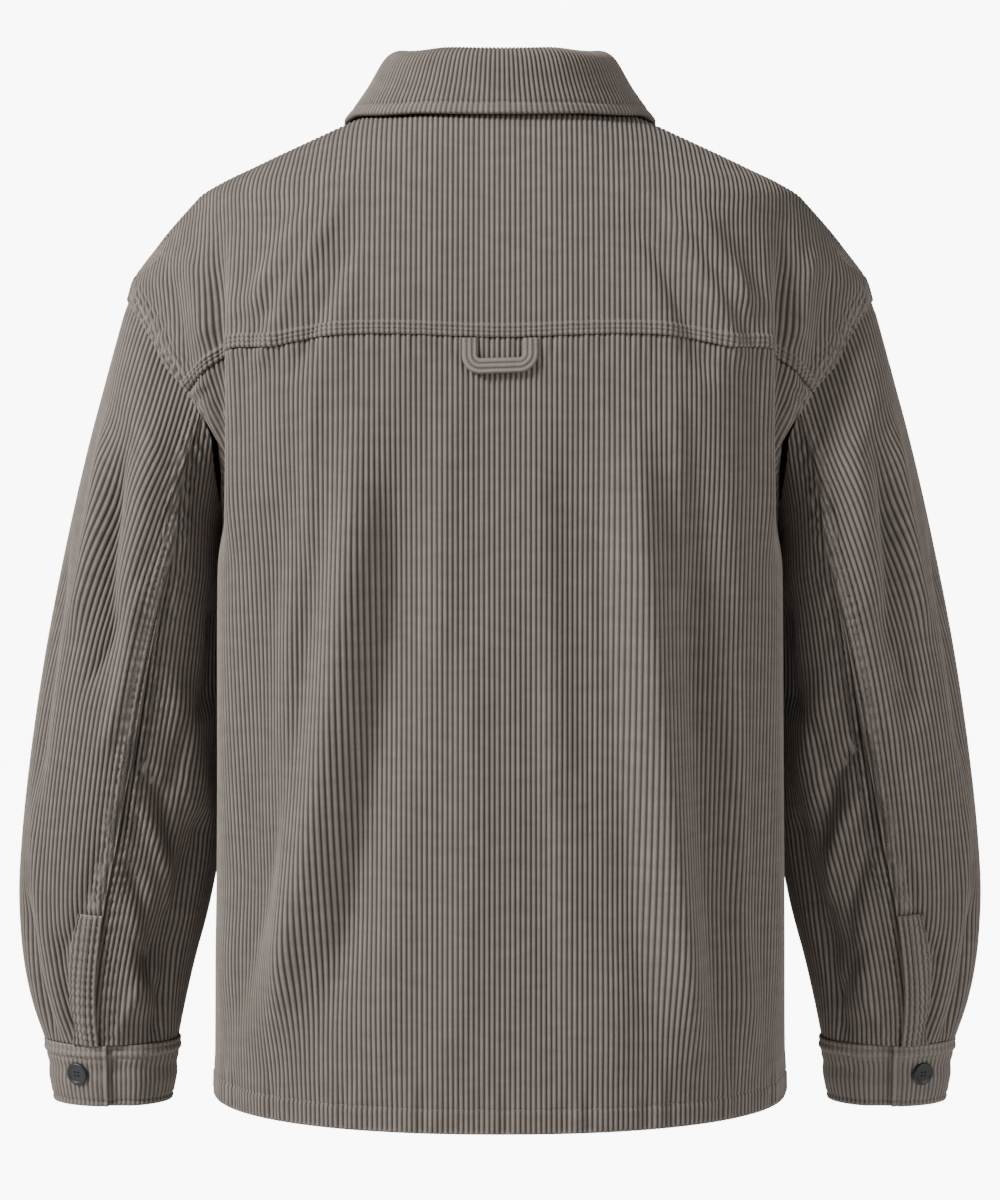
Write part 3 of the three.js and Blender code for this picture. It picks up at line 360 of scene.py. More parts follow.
# The collar: how far the stand leans in as it rises, and the fall's turned-down edge, given as
# the ring of the body it lies over and how far it stands off it.
STAND_HEIGHT_BACK = 34
STAND_HEIGHT_FRONT = 26
STAND_LEAN = 12
FALL_RISE = 11
FALL_ROLL = 9
FALL_ENDS = 170
FALL_EDGE = Table(
    ["angle", "side", "standOff", "place"],
    [
        [0, 1.5, 6, 0],
        [50, 0.5, 5, 50],
        [90, -2, 4.5, 86],
        [125, -10, 5, 112],
        [150, -24, 5.5, 128],
        [172, -38, 6, 140],
    ],
)

LOOP_HALF_WIDTH = 27
LOOP_DROP = 25
LOOP_STRAP = 11
LOOP_CORNER = 10
LOOP_LEAN = 0.17
LOOP_THICK = 2.2

# A button's outline, as radius and height, from the edge of its back round to the dished middle.
BUTTON_PROFILE = (
    (8.0, 0), (8.7, 0.5), (8.9, 1.3), (8.75, 2.2), (8.3, 2.8), (7.7, 3.0), (7.0, 2.85),
    (6.4, 2.4), (5.9, 2.1), (4.4, 1.95),
)
BUTTON_HOLE = 0.75
BUTTON_SPREAD = 1.45


def smoothstep(low, high, value):
    t = np.clip((np.asarray(value, float) - low) / (high - low), 0, 1)
    return t * t * (3 - 2 * t)


def mix(a, b, t):
    return a + (b - a) * t


def unit(vectors):
    return vectors / np.maximum(np.linalg.norm(vectors, axis=-1, keepdims=True), 1e-9)


def point(x, y, z):
    return np.stack(np.broadcast_arrays(x, y, z), axis=-1).astype(float)


def normal_of(place, u, v, step_u, step_v, low_v, high_v):
    """The way a surface faces, from the places just beside each of its places."""
    across = place(u + step_u, v) - place(u - step_u, v)
    up = place(u, np.minimum(v + step_v, high_v)) - place(u, np.maximum(v - step_v, low_v))
    return unit(np.cross(up, across))


def crease(top, end, at, top_across, end_across, here, scale, bow, width):
    """Share of a crease's height at a place: full along its middle, fading at ends and sides."""
    t = (top - at) / (top - end)
    centre = top_across + (end_across - top_across) * t + bow * 4 * t * (1 - t)
    fade = smoothstep(0, 0.3, t) * smoothstep(0, 0.22, 1 - t)
    return fade * np.exp(-(((here - centre) * scale / width) ** 2))


def body_ring(angle, side):
    """The body's smooth surface. angle is 0 at the middle of the back and pi at the front's."""
    row = BODY.at(side)
    s, c = np.sin(angle), np.cos(angle)
    behind = c >= 0
    square = np.where(behind, row["backSquare"], row["frontSquare"])
    depth = np.where(behind, row["backDepth"], row["frontDepth"])
    centre_z = np.where(behind, row["backZ"], row["frontZ"])
    reach = (np.abs(s) ** square + np.abs(c) ** square) ** (-1 / square)
    wide = reach * s
    y = depth * reach * c
    push = row["bulge"] * np.exp(-((y / BULGE_REACH) ** 2))
    push = push - row["press"] * np.exp(-(((y - PRESS_PLACE) / PRESS_REACH) ** 2))
    x = row["halfWidth"] * wide + wide ** 4 * np.sign(wide) * push
    facing = np.abs(reach * c)
    rise = mix(smoothstep(RING_FLAT, 1, facing), smoothstep(RING_START, RING_TURN, facing), RING_SHARE)
    dip = YOKE_DIP * np.exp(-((x / YOKE_DIP_REACH) ** 2))
    dip = dip * np.exp(-(((side - YOKE_LEVEL) / YOKE_DIP_HEIGHT) ** 2)) * behind
    return point(x, y, side + (centre_z - side) * rise - dip)


def body_normal(angle, side):
    return normal_of(body_ring, angle, side, 0.01, 1.5, HEM_LEVEL, NECK_LEVEL)


def body_skin(angle, side):
    """The body with its creases."""
    place = body_ring(angle, side)
    face = np.where(np.cos(angle) >= 0, 1, -1)
    rise = 0
    for fold in BODY_FOLDS:
        share = crease(fold["topZ"], fold["endZ"], place[..., 2], fold["topX"], fold["endX"],
                       place[..., 0], 1, fold["bow"], fold["width"])
        rise = rise + fold["rise"] * share * (face == fold["face"])
    rise = rise * smoothstep(0.1, 0.4, np.abs(np.cos(angle)))
    return place + body_normal(angle, side) * rise[..., None]


def where_crossed(test, low, high):
    """The place between low and high up to which a test holds, for a whole array at once."""
    low, high = np.broadcast_arrays(np.asarray(low, float), np.asarray(high, float))
    low, high = low.copy(), high.copy()
    for _ in range(34):
        middle = (low + high) / 2
        holds = test(middle)
        low = np.where(holds, middle, low)
        high = np.where(holds, high, middle)
    return (low + high) / 2


def angle_at_depth(y, side):
    """The angle round the body at which a ring comes forward to a depth."""
    start = np.zeros_like(np.asarray(side, float))
    return where_crossed(lambda angle: body_ring(angle, side)[..., 1] > y, start, start + np.pi)


def armhole_part(level):
    """The share of the armhole, from the shoulder to the underarm, at a ring of the body."""
    start = np.zeros_like(np.asarray(level, float))
    return where_crossed(lambda part: ARMHOLE.at(part)["level"] > level, start, start + 1)


def armhole_depth(part, face):
    """How far back the armhole lies, or how far forward on the front of the body."""
    depth = ARMHOLE.at(part)["depth"]
    return np.where(face > 0, depth, -depth * ARMHOLE_FRONT_SHARE)


YOKE_PART = float(armhole_part(np.array(YOKE_LEVEL)))
SLEEVE_SEAM_START = YOKE_PART + (1 - YOKE_PART) / 6


def armhole_place(turn):
    """The armhole's point at a turn from the shoulder, 0 to 1 behind and 0 to -1 in front."""
    folded = np.where(turn > 1, turn - 2, turn)
    part = np.abs(folded)
    side = ARMHOLE.at(part)["level"]
    return body_ring(angle_at_depth(armhole_depth(part, np.where(folded >= 0, 1, -1)), side), side)


def yoke_front_angle(side):
    """Where the yoke's front edge crosses a ring above the shoulder."""
    part = np.clip((side - SHOULDER_LEVEL) / (NECK_LEVEL - SHOULDER_LEVEL), 0, 1)
    return angle_at_depth(-YOKE_FORWARD * part ** 0.8, side)


def sleeve_section(angle, ring):
    """The left sleeve's section below the armhole, at an angle from the outer arm to the back."""
    row = SLEEVE.at(ring)
    c, s = np.cos(angle), np.sin(angle)
    reach = (np.abs(c) ** row["square"] + np.abs(s) ** row["square"]) ** (-1 / row["square"])
    x = (row["outerX"] + row["innerX"]) / 2 + (row["outerX"] - row["innerX"]) / 2 * reach * c
    y = (row["backY"] + row["frontY"]) / 2 + (row["backY"] - row["frontY"]) / 2 * reach * s
    return point(x, y, mix(row["innerZ"], row["outerZ"], (reach * c + 1) / 2))


def sleeve_angle(turn, ring):
    """Angle round the arm of the lengthwise line that starts at a turn of the armhole."""
    back_start, front_start = SLEEVE_SEAM_START, -SLEEVE_FRONT_SEAM_START
    back, front = SLEEVE.at(ring)["seam"], SLEEVE_FRONT_SEAM
    turned = np.where(turn < front_start, turn + 2, turn)
    over = mix(front, back, (turned - front_start) / (back_start - front_start))
    under = mix(back, front + 360, (turned - back_start) / (front_start + 2 - back_start))
    return np.radians(np.where(turned <= back_start, over, under))


def sleeve_ring(turn, ring):
    """The left sleeve's smooth surface: ring 0 is the armhole, left smoothly by ring 1."""
    turn, ring = np.broadcast_arrays(turn, ring)
    below = sleeve_section(sleeve_angle(turn, ring), ring)
    start = armhole_place(turn)
    end = sleeve_section(sleeve_angle(turn, np.ones_like(ring)), np.ones_like(ring))
    after = np.full_like(ring, 1.2, dtype=float)
    slope = (sleeve_section(sleeve_angle(turn, after), after) - end) * 5
    t = np.clip(ring, 0, 1)[..., None]
    above = (
        start * (2 * t ** 3 - 3 * t ** 2 + 1)
        + ((end - start) * 1.4 - slope * 0.3) * (t ** 3 - 2 * t ** 2 + t)
        + end * (3 * t ** 2 - 2 * t ** 3)
        + slope * (t ** 3 - t ** 2)
    )
    return np.where((ring >= 1)[..., None], below, above)


class SleeveSurface:
    """A left sleeve with its creases on a fine grid of turns and rings, read between them."""

    def __init__(self, folds=()):
        self.turns = np.linspace(-SLEEVE_FRONT_SEAM_START, 2 - SLEEVE_FRONT_SEAM_START, SLEEVE_TURNS)
        self.rings = np.concatenate([np.linspace(0, 1, 25)[:-1], np.linspace(1, SLEEVE_END, 145)])
        turn, ring = np.meshgrid(self.turns, self.rings)
        place = sleeve_ring(turn, ring)
        degrees = np.degrees(sleeve_angle(turn, ring))
        rise = np.zeros(turn.shape)
        for fold in folds:
            here = degrees - np.round((degrees - fold["topAngle"]) / 360) * 360
            rise += fold["rise"] * crease(
                fold["topZ"], fold["endZ"], place[..., 2], fold["topAngle"], fold["endAngle"],
                here, SLEEVE_DEGREE, fold["bow"], fold["width"])
        rise *= smoothstep(0, 1, ring) * smoothstep(SLEEVE_END + 0.4, SLEEVE_END - 0.6, ring)
        self.places = place + self.outward(place) * rise[..., None]
        self.facing = self.outward(self.places)
        self.by_turn = np.gradient(self.places, self.turns, axis=1)
        self.by_ring = np.gradient(self.places, self.rings, axis=0)
        self.lengths = arc_lengths(self.places, 1)

    @staticmethod
    def outward(places):
        return unit(np.cross(np.gradient(places, axis=0), np.gradient(places, axis=1)))

    def read(self, values, turn, ring):
        return between_cells(values, self.rings, self.turns, ring, turn)

    def evened(self, turn, ring):
        """The same line with its stations spaced evenly, and its length."""
        lengths = arc_lengths(self.read(self.places, turn, ring)[None], 1)[0]
        even = np.linspace(0, lengths[-1], LINE_STATIONS)
        return np.interp(even, lengths, turn), np.interp(even, lengths, ring), lengths[-1]

    def stepped(self, turn, ring, step):
        """A line moved sideways over the sleeve by a step."""
        by_turn, by_ring = sidestep(
            self.read(self.places, turn, ring), self.read(self.by_turn, turn, ring),
            self.read(self.by_ring, turn, ring), step)
        return softened(turn + by_turn), softened(ring + by_ring)

    def from_line(self, turn, ring, line_turn):
        """Length round the sleeve from a lengthwise line to each place."""
        line = np.full_like(turn, line_turn)
        lengths = self.lengths[..., None]
        return self.read(lengths, turn, ring)[..., 0] - self.read(lengths, line, ring)[..., 0]

    def beside_line(self, line_turn, ring, distance):
        """Turns of the line that runs a distance round the sleeve from a lengthwise one."""
        turns = []
        for level in ring:
            lengths = self.read(self.lengths[..., None], self.turns, np.full(SLEEVE_TURNS, level))[:, 0]
            turns.append(np.interp(
                np.interp(line_turn, self.turns, lengths) + distance, lengths, self.turns))
        return np.array(turns)


def sidestep(places, by_u, by_v, step):
    """How far a line's two coordinates move as it steps sideways over its surface."""
    along = unit(np.gradient(places, axis=0))
    way = np.cross(unit(np.cross(by_v, by_u)), along) * step
    uu, vv, uv = (by_u * by_u).sum(-1), (by_v * by_v).sum(-1), (by_u * by_v).sum(-1)
    wu, wv = (way * by_u).sum(-1), (way * by_v).sum(-1)
    whole = uu * vv - uv * uv + 1e-9
    return (wu * vv - wv * uv) / whole, (wv * uu - wu * uv) / whole


def softened(values, share=0.18):
    """A line's values with small wobbles eased out."""
    out = values.copy()
    out[1:-1] = mix(values[1:-1], (values[:-2] + values[2:]) / 2, share)
    return out


def between_cells(values, row_keys, column_keys, row, column):
    """Values of a grid read between its rows and columns."""
    i = np.clip(np.searchsorted(row_keys, row, side="right") - 1, 0, len(row_keys) - 2)
    j = np.clip(np.searchsorted(column_keys, column, side="right") - 1, 0, len(column_keys) - 2)
    v = ((row - row_keys[i]) / (row_keys[i + 1] - row_keys[i]))[..., None]
    u = ((column - column_keys[j]) / (column_keys[j + 1] - column_keys[j]))[..., None]
    low = mix(values[i, j], values[i, j + 1], u)
    high = mix(values[i + 1, j], values[i + 1, j + 1], u)
    return mix(low, high, v)


def arc_lengths(places, axis):
    """Lengths along a grid's rows or columns, from its first cell."""
    steps = np.linalg.norm(np.diff(places, axis=axis), axis=-1)
    start = np.zeros_like(np.take(steps, [0], axis=axis))
    return np.concatenate([start, np.cumsum(steps, axis=axis)], axis=axis)


def facing_of(places):
    """The way each point of a grid faces, with its rows going up and its columns to the left."""
    across = np.gradient(places, axis=1)
    up = np.gradient(places, axis=0)
    return unit(np.cross(up, across))


def spread(start, fine, middle, pitch, end):
    """Row places: fine ones after the start, evenly spaced ones, and fine ones before the end."""
    first = [start + step for step in fine]
    last = [end - step for step in middle][::-1]
    count = max(int(round((last[0] - first[-1]) / pitch)), 1)
    return np.concatenate([first, np.linspace(first[-1], last[0], count + 1)[1:-1], last])


def pillow(distance, rows, depth, reach=0.95):
    """The dents that rows of stitching press into the cloth."""
    dent = 0
    for row in rows:
        dent = dent + np.exp(-(((distance - row) / reach) ** 2))
    return -depth * np.minimum(dent, 1)


class Cloth:
    """A grid of cloth: its points, its wale number across, its length along, and how far sewing
    lifts each point and presses its rib flat. outward is 1 where rows going up and columns going
    to the left face out, and -1 where they face in."""

    def __init__(self, places, wales, along, outward=1, facing=None):
        shape = places.shape[:2]
        self.places = places
        self.wales = np.broadcast_to(wales, shape)
        self.along = np.broadcast_to(along, shape)
        self.flat = np.zeros(shape)
        self.lift = np.zeros(shape)
        self.outward = outward
        self.facing = facing_of(places) * outward if facing is None else facing

    def raised(self, height):
        """The outer points, with ribs of that height between the wales' grooves."""
        rib = np.sin(np.pi * self.wales) ** 2
        rib = 1 - (1 - rib) ** 1.5
        return self.places + self.facing * (self.lift + height * rib * (1 - self.flat))[..., None]


def cloth_mesh(name, cloths, height, wall, mirror=False):
    """A thin closed shell of one cloth or of several that meet: ribbed outside, plain inside."""
    points, uvs, flats, quads, patches = [], [], [], [], []
    start = 0
    for cloth in cloths:
        rows, columns = cloth.wales.shape
        count = rows * columns
        inner = cloth.places - cloth.facing * wall
        points += [cloth.raised(height).reshape(-1, 3), inner.reshape(-1, 3)]
        uvs += [np.stack([cloth.wales, cloth.along], -1).reshape(-1, 2)] * 2
        flats += [cloth.flat.ravel(), np.ones(count)]
        rim = rim_cells(rows, columns)
        ring = start + rim[:, 0] * columns + rim[:, 1]
        following = np.roll(ring, -1)
        sides = np.stack([ring, following, count + following, count + ring], -1)
        made = np.concatenate([start + grid_faces(rows, columns)[:, ::-1], sides])
        lining = lining_patches(rows, columns, start + count)
        if cloth.outward < 0:
            made = made[:, ::-1]
            lining = [patch[::-1] for patch in lining]
        quads.append(made)
        patches += lining
        start += 2 * count
    return shape_from(name, np.concatenate(points), np.concatenate(quads), np.concatenate(uvs),
                      np.concatenate(flats), mirror, patches)


def rim_cells(rows, columns):
    """A grid's outermost cells in order round it."""
    low = [(0, j) for j in range(columns)]
    last = [(i, columns - 1) for i in range(1, rows)]
    high = [(rows - 1, j) for j in range(columns - 2, -1, -1)]
    first = [(i, 0) for i in range(rows - 2, 0, -1)]
    return np.array(low + last + high + first)


def grid_faces(rows, columns):
    """The four-sided faces of a grid."""
    i, j = np.meshgrid(np.arange(rows - 1), np.arange(columns - 1), indexing="ij")
    a = i * columns + j
    return np.stack([a, a + 1, a + columns + 1, a + columns], -1).reshape(-1, 4)


def picks(count, step):
    """Every so many of a count, always with its last."""
    return sorted({*range(0, count, step), count - 1})


def lining_patches(rows, columns, start):
    """Large faces of the plain inside, with every rim point where they meet the rim."""
    patches = []
    row_picks, column_picks = picks(rows, LINING_ROW_STEP), picks(columns, LINING_COLUMN_STEP)
    for low, high in zip(row_picks[:-1], row_picks[1:]):
        for left, right in zip(column_picks[:-1], column_picks[1:]):
            bottom = range(left, right) if low == 0 else [left]
            far = range(low, high) if right == columns - 1 else [low]
            top = range(right, left, -1) if high == rows - 1 else [right]
            near = range(high, low, -1) if left == 0 else [high]
            cells = [(low, j) for j in bottom] + [(i, right) for i in far]
            cells += [(high, j) for j in top] + [(i, left) for i in near]
            patches.append([start + i * columns + j for i, j in cells])
    return patches


def joined_corners(points, quads, patches):
    """Welds points that fall together and drops the faces that this leaves without an area."""
    keys = np.round(points * WELD_PARTS_OF_MM).astype(np.int64)
    _, first, same = np.unique(keys, axis=0, return_index=True, return_inverse=True)
    quads = first[same.ravel()][quads]
    alike = quads == np.roll(quads, -1, axis=1)
    crossed = (quads[:, 0] == quads[:, 2]) | (quads[:, 1] == quads[:, 3])
    _, place, alike_faces = np.unique(
        np.sort(quads, axis=1), axis=0, return_inverse=True, return_counts=True)
    crossed |= alike_faces[place.ravel()] > 1
    whole = quads[(alike.sum(axis=1) == 0) & ~crossed]
    thin = (alike.sum(axis=1) == 1) & ~crossed
    keep = (np.argmax(alike[thin], axis=1)[:, None] + np.array([1, 2, 3])) % 4
    triangles = np.take_along_axis(quads[thin], keep, axis=1)
    patched = []
    for patch in patches:
        corners = first[same.ravel()[patch]]
        kept = [c for n, c in enumerate(corners) if c != corners[n - 1]]
        if len(set(kept)) == len(kept) and len(kept) > 2:
            patched.append(kept)
    return [*whole.tolist(), *triangles.tolist(), *patched]


def shape_from(name, points, quads, uvs, flats, mirror=False, patches=()):
    """A mesh object in metres."""
    faces = joined_corners(points, quads, patches)
    sizes = np.array([len(face) for face in faces])
    corners = np.array([corner for face in faces for corner in face])
    used, corners = np.unique(corners, return_inverse=True)
    points = points[used] * MM
    if mirror:
        points = points * [-1, 1, 1]
    mesh = bpy.data.meshes.new(name)
    mesh.vertices.add(len(points))
    mesh.vertices.foreach_set("co", points.astype(np.float32).ravel())
    mesh.loops.add(len(corners))
    mesh.loops.foreach_set("vertex_index", corners.astype(np.int32))
    mesh.polygons.add(len(faces))
    starts = np.concatenate([[0], np.cumsum(sizes)[:-1]])
    mesh.polygons.foreach_set("loop_start", starts.astype(np.int32))
    mesh.update(calc_edges=True)
    mesh.validate()
    layer = mesh.uv_layers.new(name="cloth")
    order = np.zeros(len(mesh.loops), np.int32)
    mesh.loops.foreach_get("vertex_index", order)
    layer.data.foreach_set("uv", uvs[used][order].astype(np.float32).ravel())
    attribute = mesh.attributes.new("pressed", "FLOAT", "POINT")
    attribute.data.foreach_set("value", flats[used].astype(np.float32))
    mesh.polygons.foreach_set("use_smooth", np.ones(len(mesh.polygons), bool))
    if mirror:
        mesh.flip_normals()
    shape = bpy.data.objects.new(name, mesh)
    bpy.context.scene.collection.objects.link(shape)
    return shape


def declare(shape, node, cloths, material, rests_on=(), wall=WALL):
    """Gives a piece its finish and its body and hides the part it stands for. The size of the cut it is
    made from is worked out but not kept.
    """
    shape.data.materials.append(material)
    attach(shape, "root")
    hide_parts(node)
    wales = np.concatenate([cloth.wales.ravel() for cloth in cloths])
    width = (wales.max() - wales.min()) * bpy.context.scene.overshirt.wale_pitch
    length, area = 0, 0
    for cloth in cloths[:2]:
        length += arc_lengths(cloth.places, 0)[-1].max()
    for cloth in cloths:
        middle = cloth.places - cloth.facing * (wall / 2)
        one, other = middle[1:, 1:] - middle[:-1, :-1], middle[1:, :-1] - middle[:-1, 1:]
        area += np.linalg.norm(np.cross(one, other), axis=-1).sum() / 2
    width, length = width * MM, length * MM
    return shape


class Value:
    """A socket in a material that adds, multiplies and mixes as a plain number does."""

    def __init__(self, tree, socket):
        self.tree = tree
        self.socket = socket

    def node(self, kind, settings=None, **inputs):
        """Adds any other node: its settings are set first, then its named inputs."""
        made = self.tree.nodes.new(kind)
        for name, value in (settings or {}).items():
            setattr(made, name, value)
        for name, value in inputs.items():
            socket = made.inputs[name.replace("_", " ")]
            if isinstance(value, Value):
                self.tree.links.new(value.socket, socket)
            else:
                socket.default_value = value
        return made

    def _math(self, operation, *others):
        made = self.tree.nodes.new("ShaderNodeMath")
        made.operation = operation
        for i, other in enumerate(others):
            if isinstance(other, Value):
                self.tree.links.new(other.socket, made.inputs[i])
            else:
                made.inputs[i].default_value = other
        return Value(self.tree, made.outputs[0])

    def __add__(self, other):
        return self._math("ADD", self, other)

    def __radd__(self, other):
        return self._math("ADD", other, self)

    def __sub__(self, other):
        return self._math("SUBTRACT", self, other)

    def __rsub__(self, other):
        return self._math("SUBTRACT", other, self)

    def __mul__(self, other):
        return self._math("MULTIPLY", self, other)

    def __rmul__(self, other):
        return self._math("MULTIPLY", other, self)

    def __pow__(self, other):
        return self._math("POWER", self, other)

    def __rpow__(self, other):
        return self._math("POWER", other, self)

    def noise(self, scale, detail, roughness):
        """Noise read at the places that this value holds."""
        made = self.node("ShaderNodeTexNoise", Vector=self, Scale=scale, Detail=detail,
                         Roughness=roughness)
        return Value(self.tree, made.outputs["Fac"])

    def bump(self, shader, height, strength, distance):
        """Roughens a shader's surface by a height."""
        made = self.node("ShaderNodeBump", Height=height, Strength=strength, Distance=distance)
        self.tree.links.new(made.outputs["Normal"], shader.inputs["Normal"])

    def sine(self):
        return self._math("SINE", self)

    def above(self, floor):
        return self._math("MAXIMUM", self, floor)

    def blend(self, first, second):
        """Mixes two colours by this value."""
        made = self.tree.nodes.new("ShaderNodeMix")
        made.data_type = "RGBA"
        self.tree.links.new(self.socket, made.inputs["Factor"])
        for name, colour in (("A", first), ("B", second)):
            socket = [s for s in made.inputs if s.name == name and s.type == "RGBA"][0]
            if isinstance(colour, Value):
                self.tree.links.new(colour.socket, socket)
            else:
                socket.default_value = colour
        made.clamp_factor = True
        return Value(self.tree, [s for s in made.outputs if s.type == "RGBA"][0])


def new_material(name):
    """An empty material with one shader joined to its output."""
    material = bpy.data.materials.new(name)
    material.use_nodes = True
    tree = material.node_tree
    tree.nodes.clear()
    shader = tree.nodes.new("ShaderNodeBsdfPrincipled")
    output = tree.nodes.new("ShaderNodeOutputMaterial")
    tree.links.new(shader.outputs[0], output.inputs["Surface"])
    return material, tree, shader


def shade(colour, share):
    """A colour made darker or paler by a share."""
    return [channel * share for channel in colour[:3]] + [1]


def corduroy_material(settings):
    """Ribbed cotton pile: painted shade darkens the grooves, and the pile is paler where it is worn on
    seams.
    """
    material, tree, shader = new_material("corduroy_cloth")
    start = Value(tree, None)
    coordinates = Value(tree, start.node("ShaderNodeUVMap", {"uv_map": "cloth"}).outputs["UV"])
    parts = start.node("ShaderNodeSeparateXYZ", Vector=coordinates)
    wales = Value(tree, parts.outputs["X"])
    along = Value(tree, parts.outputs["Y"])
    pressed = Value(tree, start.node(
        "ShaderNodeAttribute", {"attribute_name": "pressed"}).outputs["Fac"])

    def patches(across, lengthwise, detail, roughness):
        place = start.node("ShaderNodeCombineXYZ", X=wales * across, Y=along * lengthwise)
        return Value(tree, place.outputs[0]).noise(1.0, detail, roughness)

    rib = (wales * math.pi).sine()
    groove = (1 - rib * rib) ** GROOVE_SHARPNESS
    fibre = patches(9, 3.2, 3.0, 0.6)
    broad = patches(0.16, 0.12, 4.0, 0.55)
    fleck = patches(1.6, 1.1, 2.0, 0.5)
    streak = patches(1.3, 0.012, 2.0, 0.5)
    base = tuple(settings.cloth_colour)
    tone = (broad * 0.9 + fibre * 0.9 + fleck * 0.6 + streak * 0.8 - 1.1).above(0)
    colour = tone.blend(shade(base, 0.72), shade(base, 1.3))
    # Painted shade: the grooves between the ribs are darkened towards a share of the colour, less where
    # the pile is pressed flat.
    colour = (groove * 0.95 * (1 - pressed * 0.35)).blend(colour, shade(base, settings.groove_shade))
    colour = (pressed * (0.25 + fleck * 0.5)).blend(colour, shade(base, settings.wear_tone))
    tree.links.new(colour.socket, shader.inputs["Base Color"])
    shader.inputs["Roughness"].default_value = 0.93
    shader.inputs["Specular IOR Level"].default_value = 0.25
    shader.inputs["Sheen Weight"].default_value = settings.sheen
    shader.inputs["Sheen Roughness"].default_value = 0.45
    shader.inputs["Sheen Tint"].default_value = shade(base, 3.2)
    start.bump(shader, fibre * 0.6 + fleck * 0.5 - groove * 0.8, 0.35, 0.0006)
    return material


def thread_material(settings):
    """Matt cotton sewing thread with a twisted ply."""
    material, tree, shader = new_material("sewing_thread")
    start = Value(tree, None)
    place = Value(tree, start.node("ShaderNodeTexCoord").outputs["Object"])
    ply = place.noise(900.0, 2.0, 0.5)
    base = tuple(settings.thread_colour)
    colour = ply.blend(shade(base, 0.75), shade(base, 1.2))
    tree.links.new(colour.socket, shader.inputs["Base Color"])
    shader.inputs["Roughness"].default_value = 0.8
    start.bump(shader, ply, 0.3, 0.0002)
    return material


def button_material(settings):
    """Dark moulded resin with a faint mottle."""
    material, tree, shader = new_material("button_resin")
    start = Value(tree, None)
    place = Value(tree, start.node("ShaderNodeTexCoord").outputs["Object"])
    mottle = place.noise(260.0, 4.0, 0.6)
    base = tuple(settings.button_colour)
    colour = mottle.blend(shade(base, 0.8), shade(base, 1.3))
    tree.links.new(colour.socket, shader.inputs["Base Color"])
    tree.links.new((0.34 + mottle * 0.2).socket, shader.inputs["Roughness"])
    start.bump(shader, mottle, 0.08, 0.0003)
    return material


def material_of(name, maker):
    return bpy.data.materials.get(name) or maker(bpy.context.scene.overshirt)


def corduroy():
    return material_of("corduroy_cloth", corduroy_material)


CLOTHS = {}
SURFACES = {}


def wale_columns(pitch, low, high):
    """Places across a panel at every quarter wale, in millimetres from its middle."""
    step = pitch / 4
    return np.arange(math.ceil(low / step), math.floor(high / step) + 1) * step


def ring_arcs(sides, edge_angles):
    """Angles along each ring from the middle to its edge, and the lengths there."""
    share = np.linspace(0, 1, RING_SAMPLES)
    angles = edge_angles[:, None] * share[None, :]
    places = body_ring(angles, sides[:, None])
    return angles, arc_lengths(places, 1)


def back_edge_angle(sides):
    """Where the back panel ends on each ring: at the side seam, or at the armhole."""
    arm = sides >= UNDERARM_LEVEL
    depth = armhole_depth(armhole_part(np.maximum(sides, UNDERARM_LEVEL)), 1)
    at_armhole = angle_at_depth(depth, np.maximum(sides, UNDERARM_LEVEL))
    return np.where(arm, at_armhole, np.pi / 2)


def front_edge_angle(sides):
    """Where a front ends on each ring: at the side seam, the armhole or the yoke."""
    arm = (sides >= UNDERARM_LEVEL) & (sides <= SHOULDER_LEVEL)
    inside = np.clip(sides, UNDERARM_LEVEL, SHOULDER_LEVEL)
    at_armhole = angle_at_depth(armhole_depth(armhole_part(inside), -1), inside)
    over = sides > SHOULDER_LEVEL
    at_yoke = yoke_front_angle(np.maximum(sides, SHOULDER_LEVEL))
    return np.where(over, at_yoke, np.where(arm, at_armhole, np.pi / 2))


def armhole_near(places):
    """Distance of each place from its own side's armhole seam, and the length along it there."""
    line = armhole_place(np.linspace(-1, 1, 400))
    lengths = arc_lengths(line[None], 1)[0]
    flat = places.reshape(-1, 3).copy()
    flat[:, 0] = np.abs(flat[:, 0])
    distance = np.full(len(flat), FAR)
    where = np.zeros(len(flat))
    near = np.where((flat[:, 0] > 120) & (flat[:, 2] > UNDERARM_LEVEL - 60))[0]
    for part in np.array_split(near, len(near) // 4000 + 1):
        gaps = np.linalg.norm(flat[part, None] - line[None], axis=-1)
        best = gaps.argmin(axis=1)
        distance[part] = gaps[np.arange(len(part)), best]
        where[part] = lengths[best]
    return distance.reshape(places.shape[:2]), where.reshape(places.shape[:2])


def pucker(along, beside, reach, pitch=8.5):
    """Small waves that the pull of sewing leaves in the cloth beside a seam."""
    wave = np.sin(along * 2 * math.pi / pitch + 1.8 * np.sin(along * 0.11))
    return PUCKER_RISE * wave * smoothstep(0, 3, beside) * smoothstep(reach, reach / 3, beside)


def body_sewing(cloth, pitch, hem, from_seam=None):
    """Lifts and presses a body panel where its hem, armhole and seam are sewn."""
    arm, along = armhole_near(cloth.places)
    band = smoothstep(ARMHOLE_BAND + 1.5, ARMHOLE_BAND - 1, arm)
    lift = BAND_RISE * band + pillow(arm, ARMHOLE_ROWS, 1.2) + pucker(along, arm, 26)
    flat = 0.3 * band
    if hem:
        low = cloth.along - cloth.along[0]
        hem_band = smoothstep(HEM_FOLD + 2, HEM_FOLD, low)
        lift = lift + 0.5 * hem_band + pillow(low, (HEM_FOLD,), 1.1)
        lift = lift + pucker(cloth.wales * pitch, low, 40, 31)
        flat = np.maximum(flat, 0.3 * smoothstep(3, 0, low))
    if from_seam is not None:
        seam_band = smoothstep(YOKE_BAND + 1.5, YOKE_BAND, from_seam)
        lift = lift + (BAND_RISE + 0.6) * seam_band
        lift = lift + pillow(from_seam, (0.4, *YOKE_ROWS), 1.25, 0.8)
        flat = np.maximum(flat, 0.12 * seam_band)
    cloth.lift = cloth.lift + lift
    cloth.flat = np.maximum(cloth.flat, flat)
    return cloth


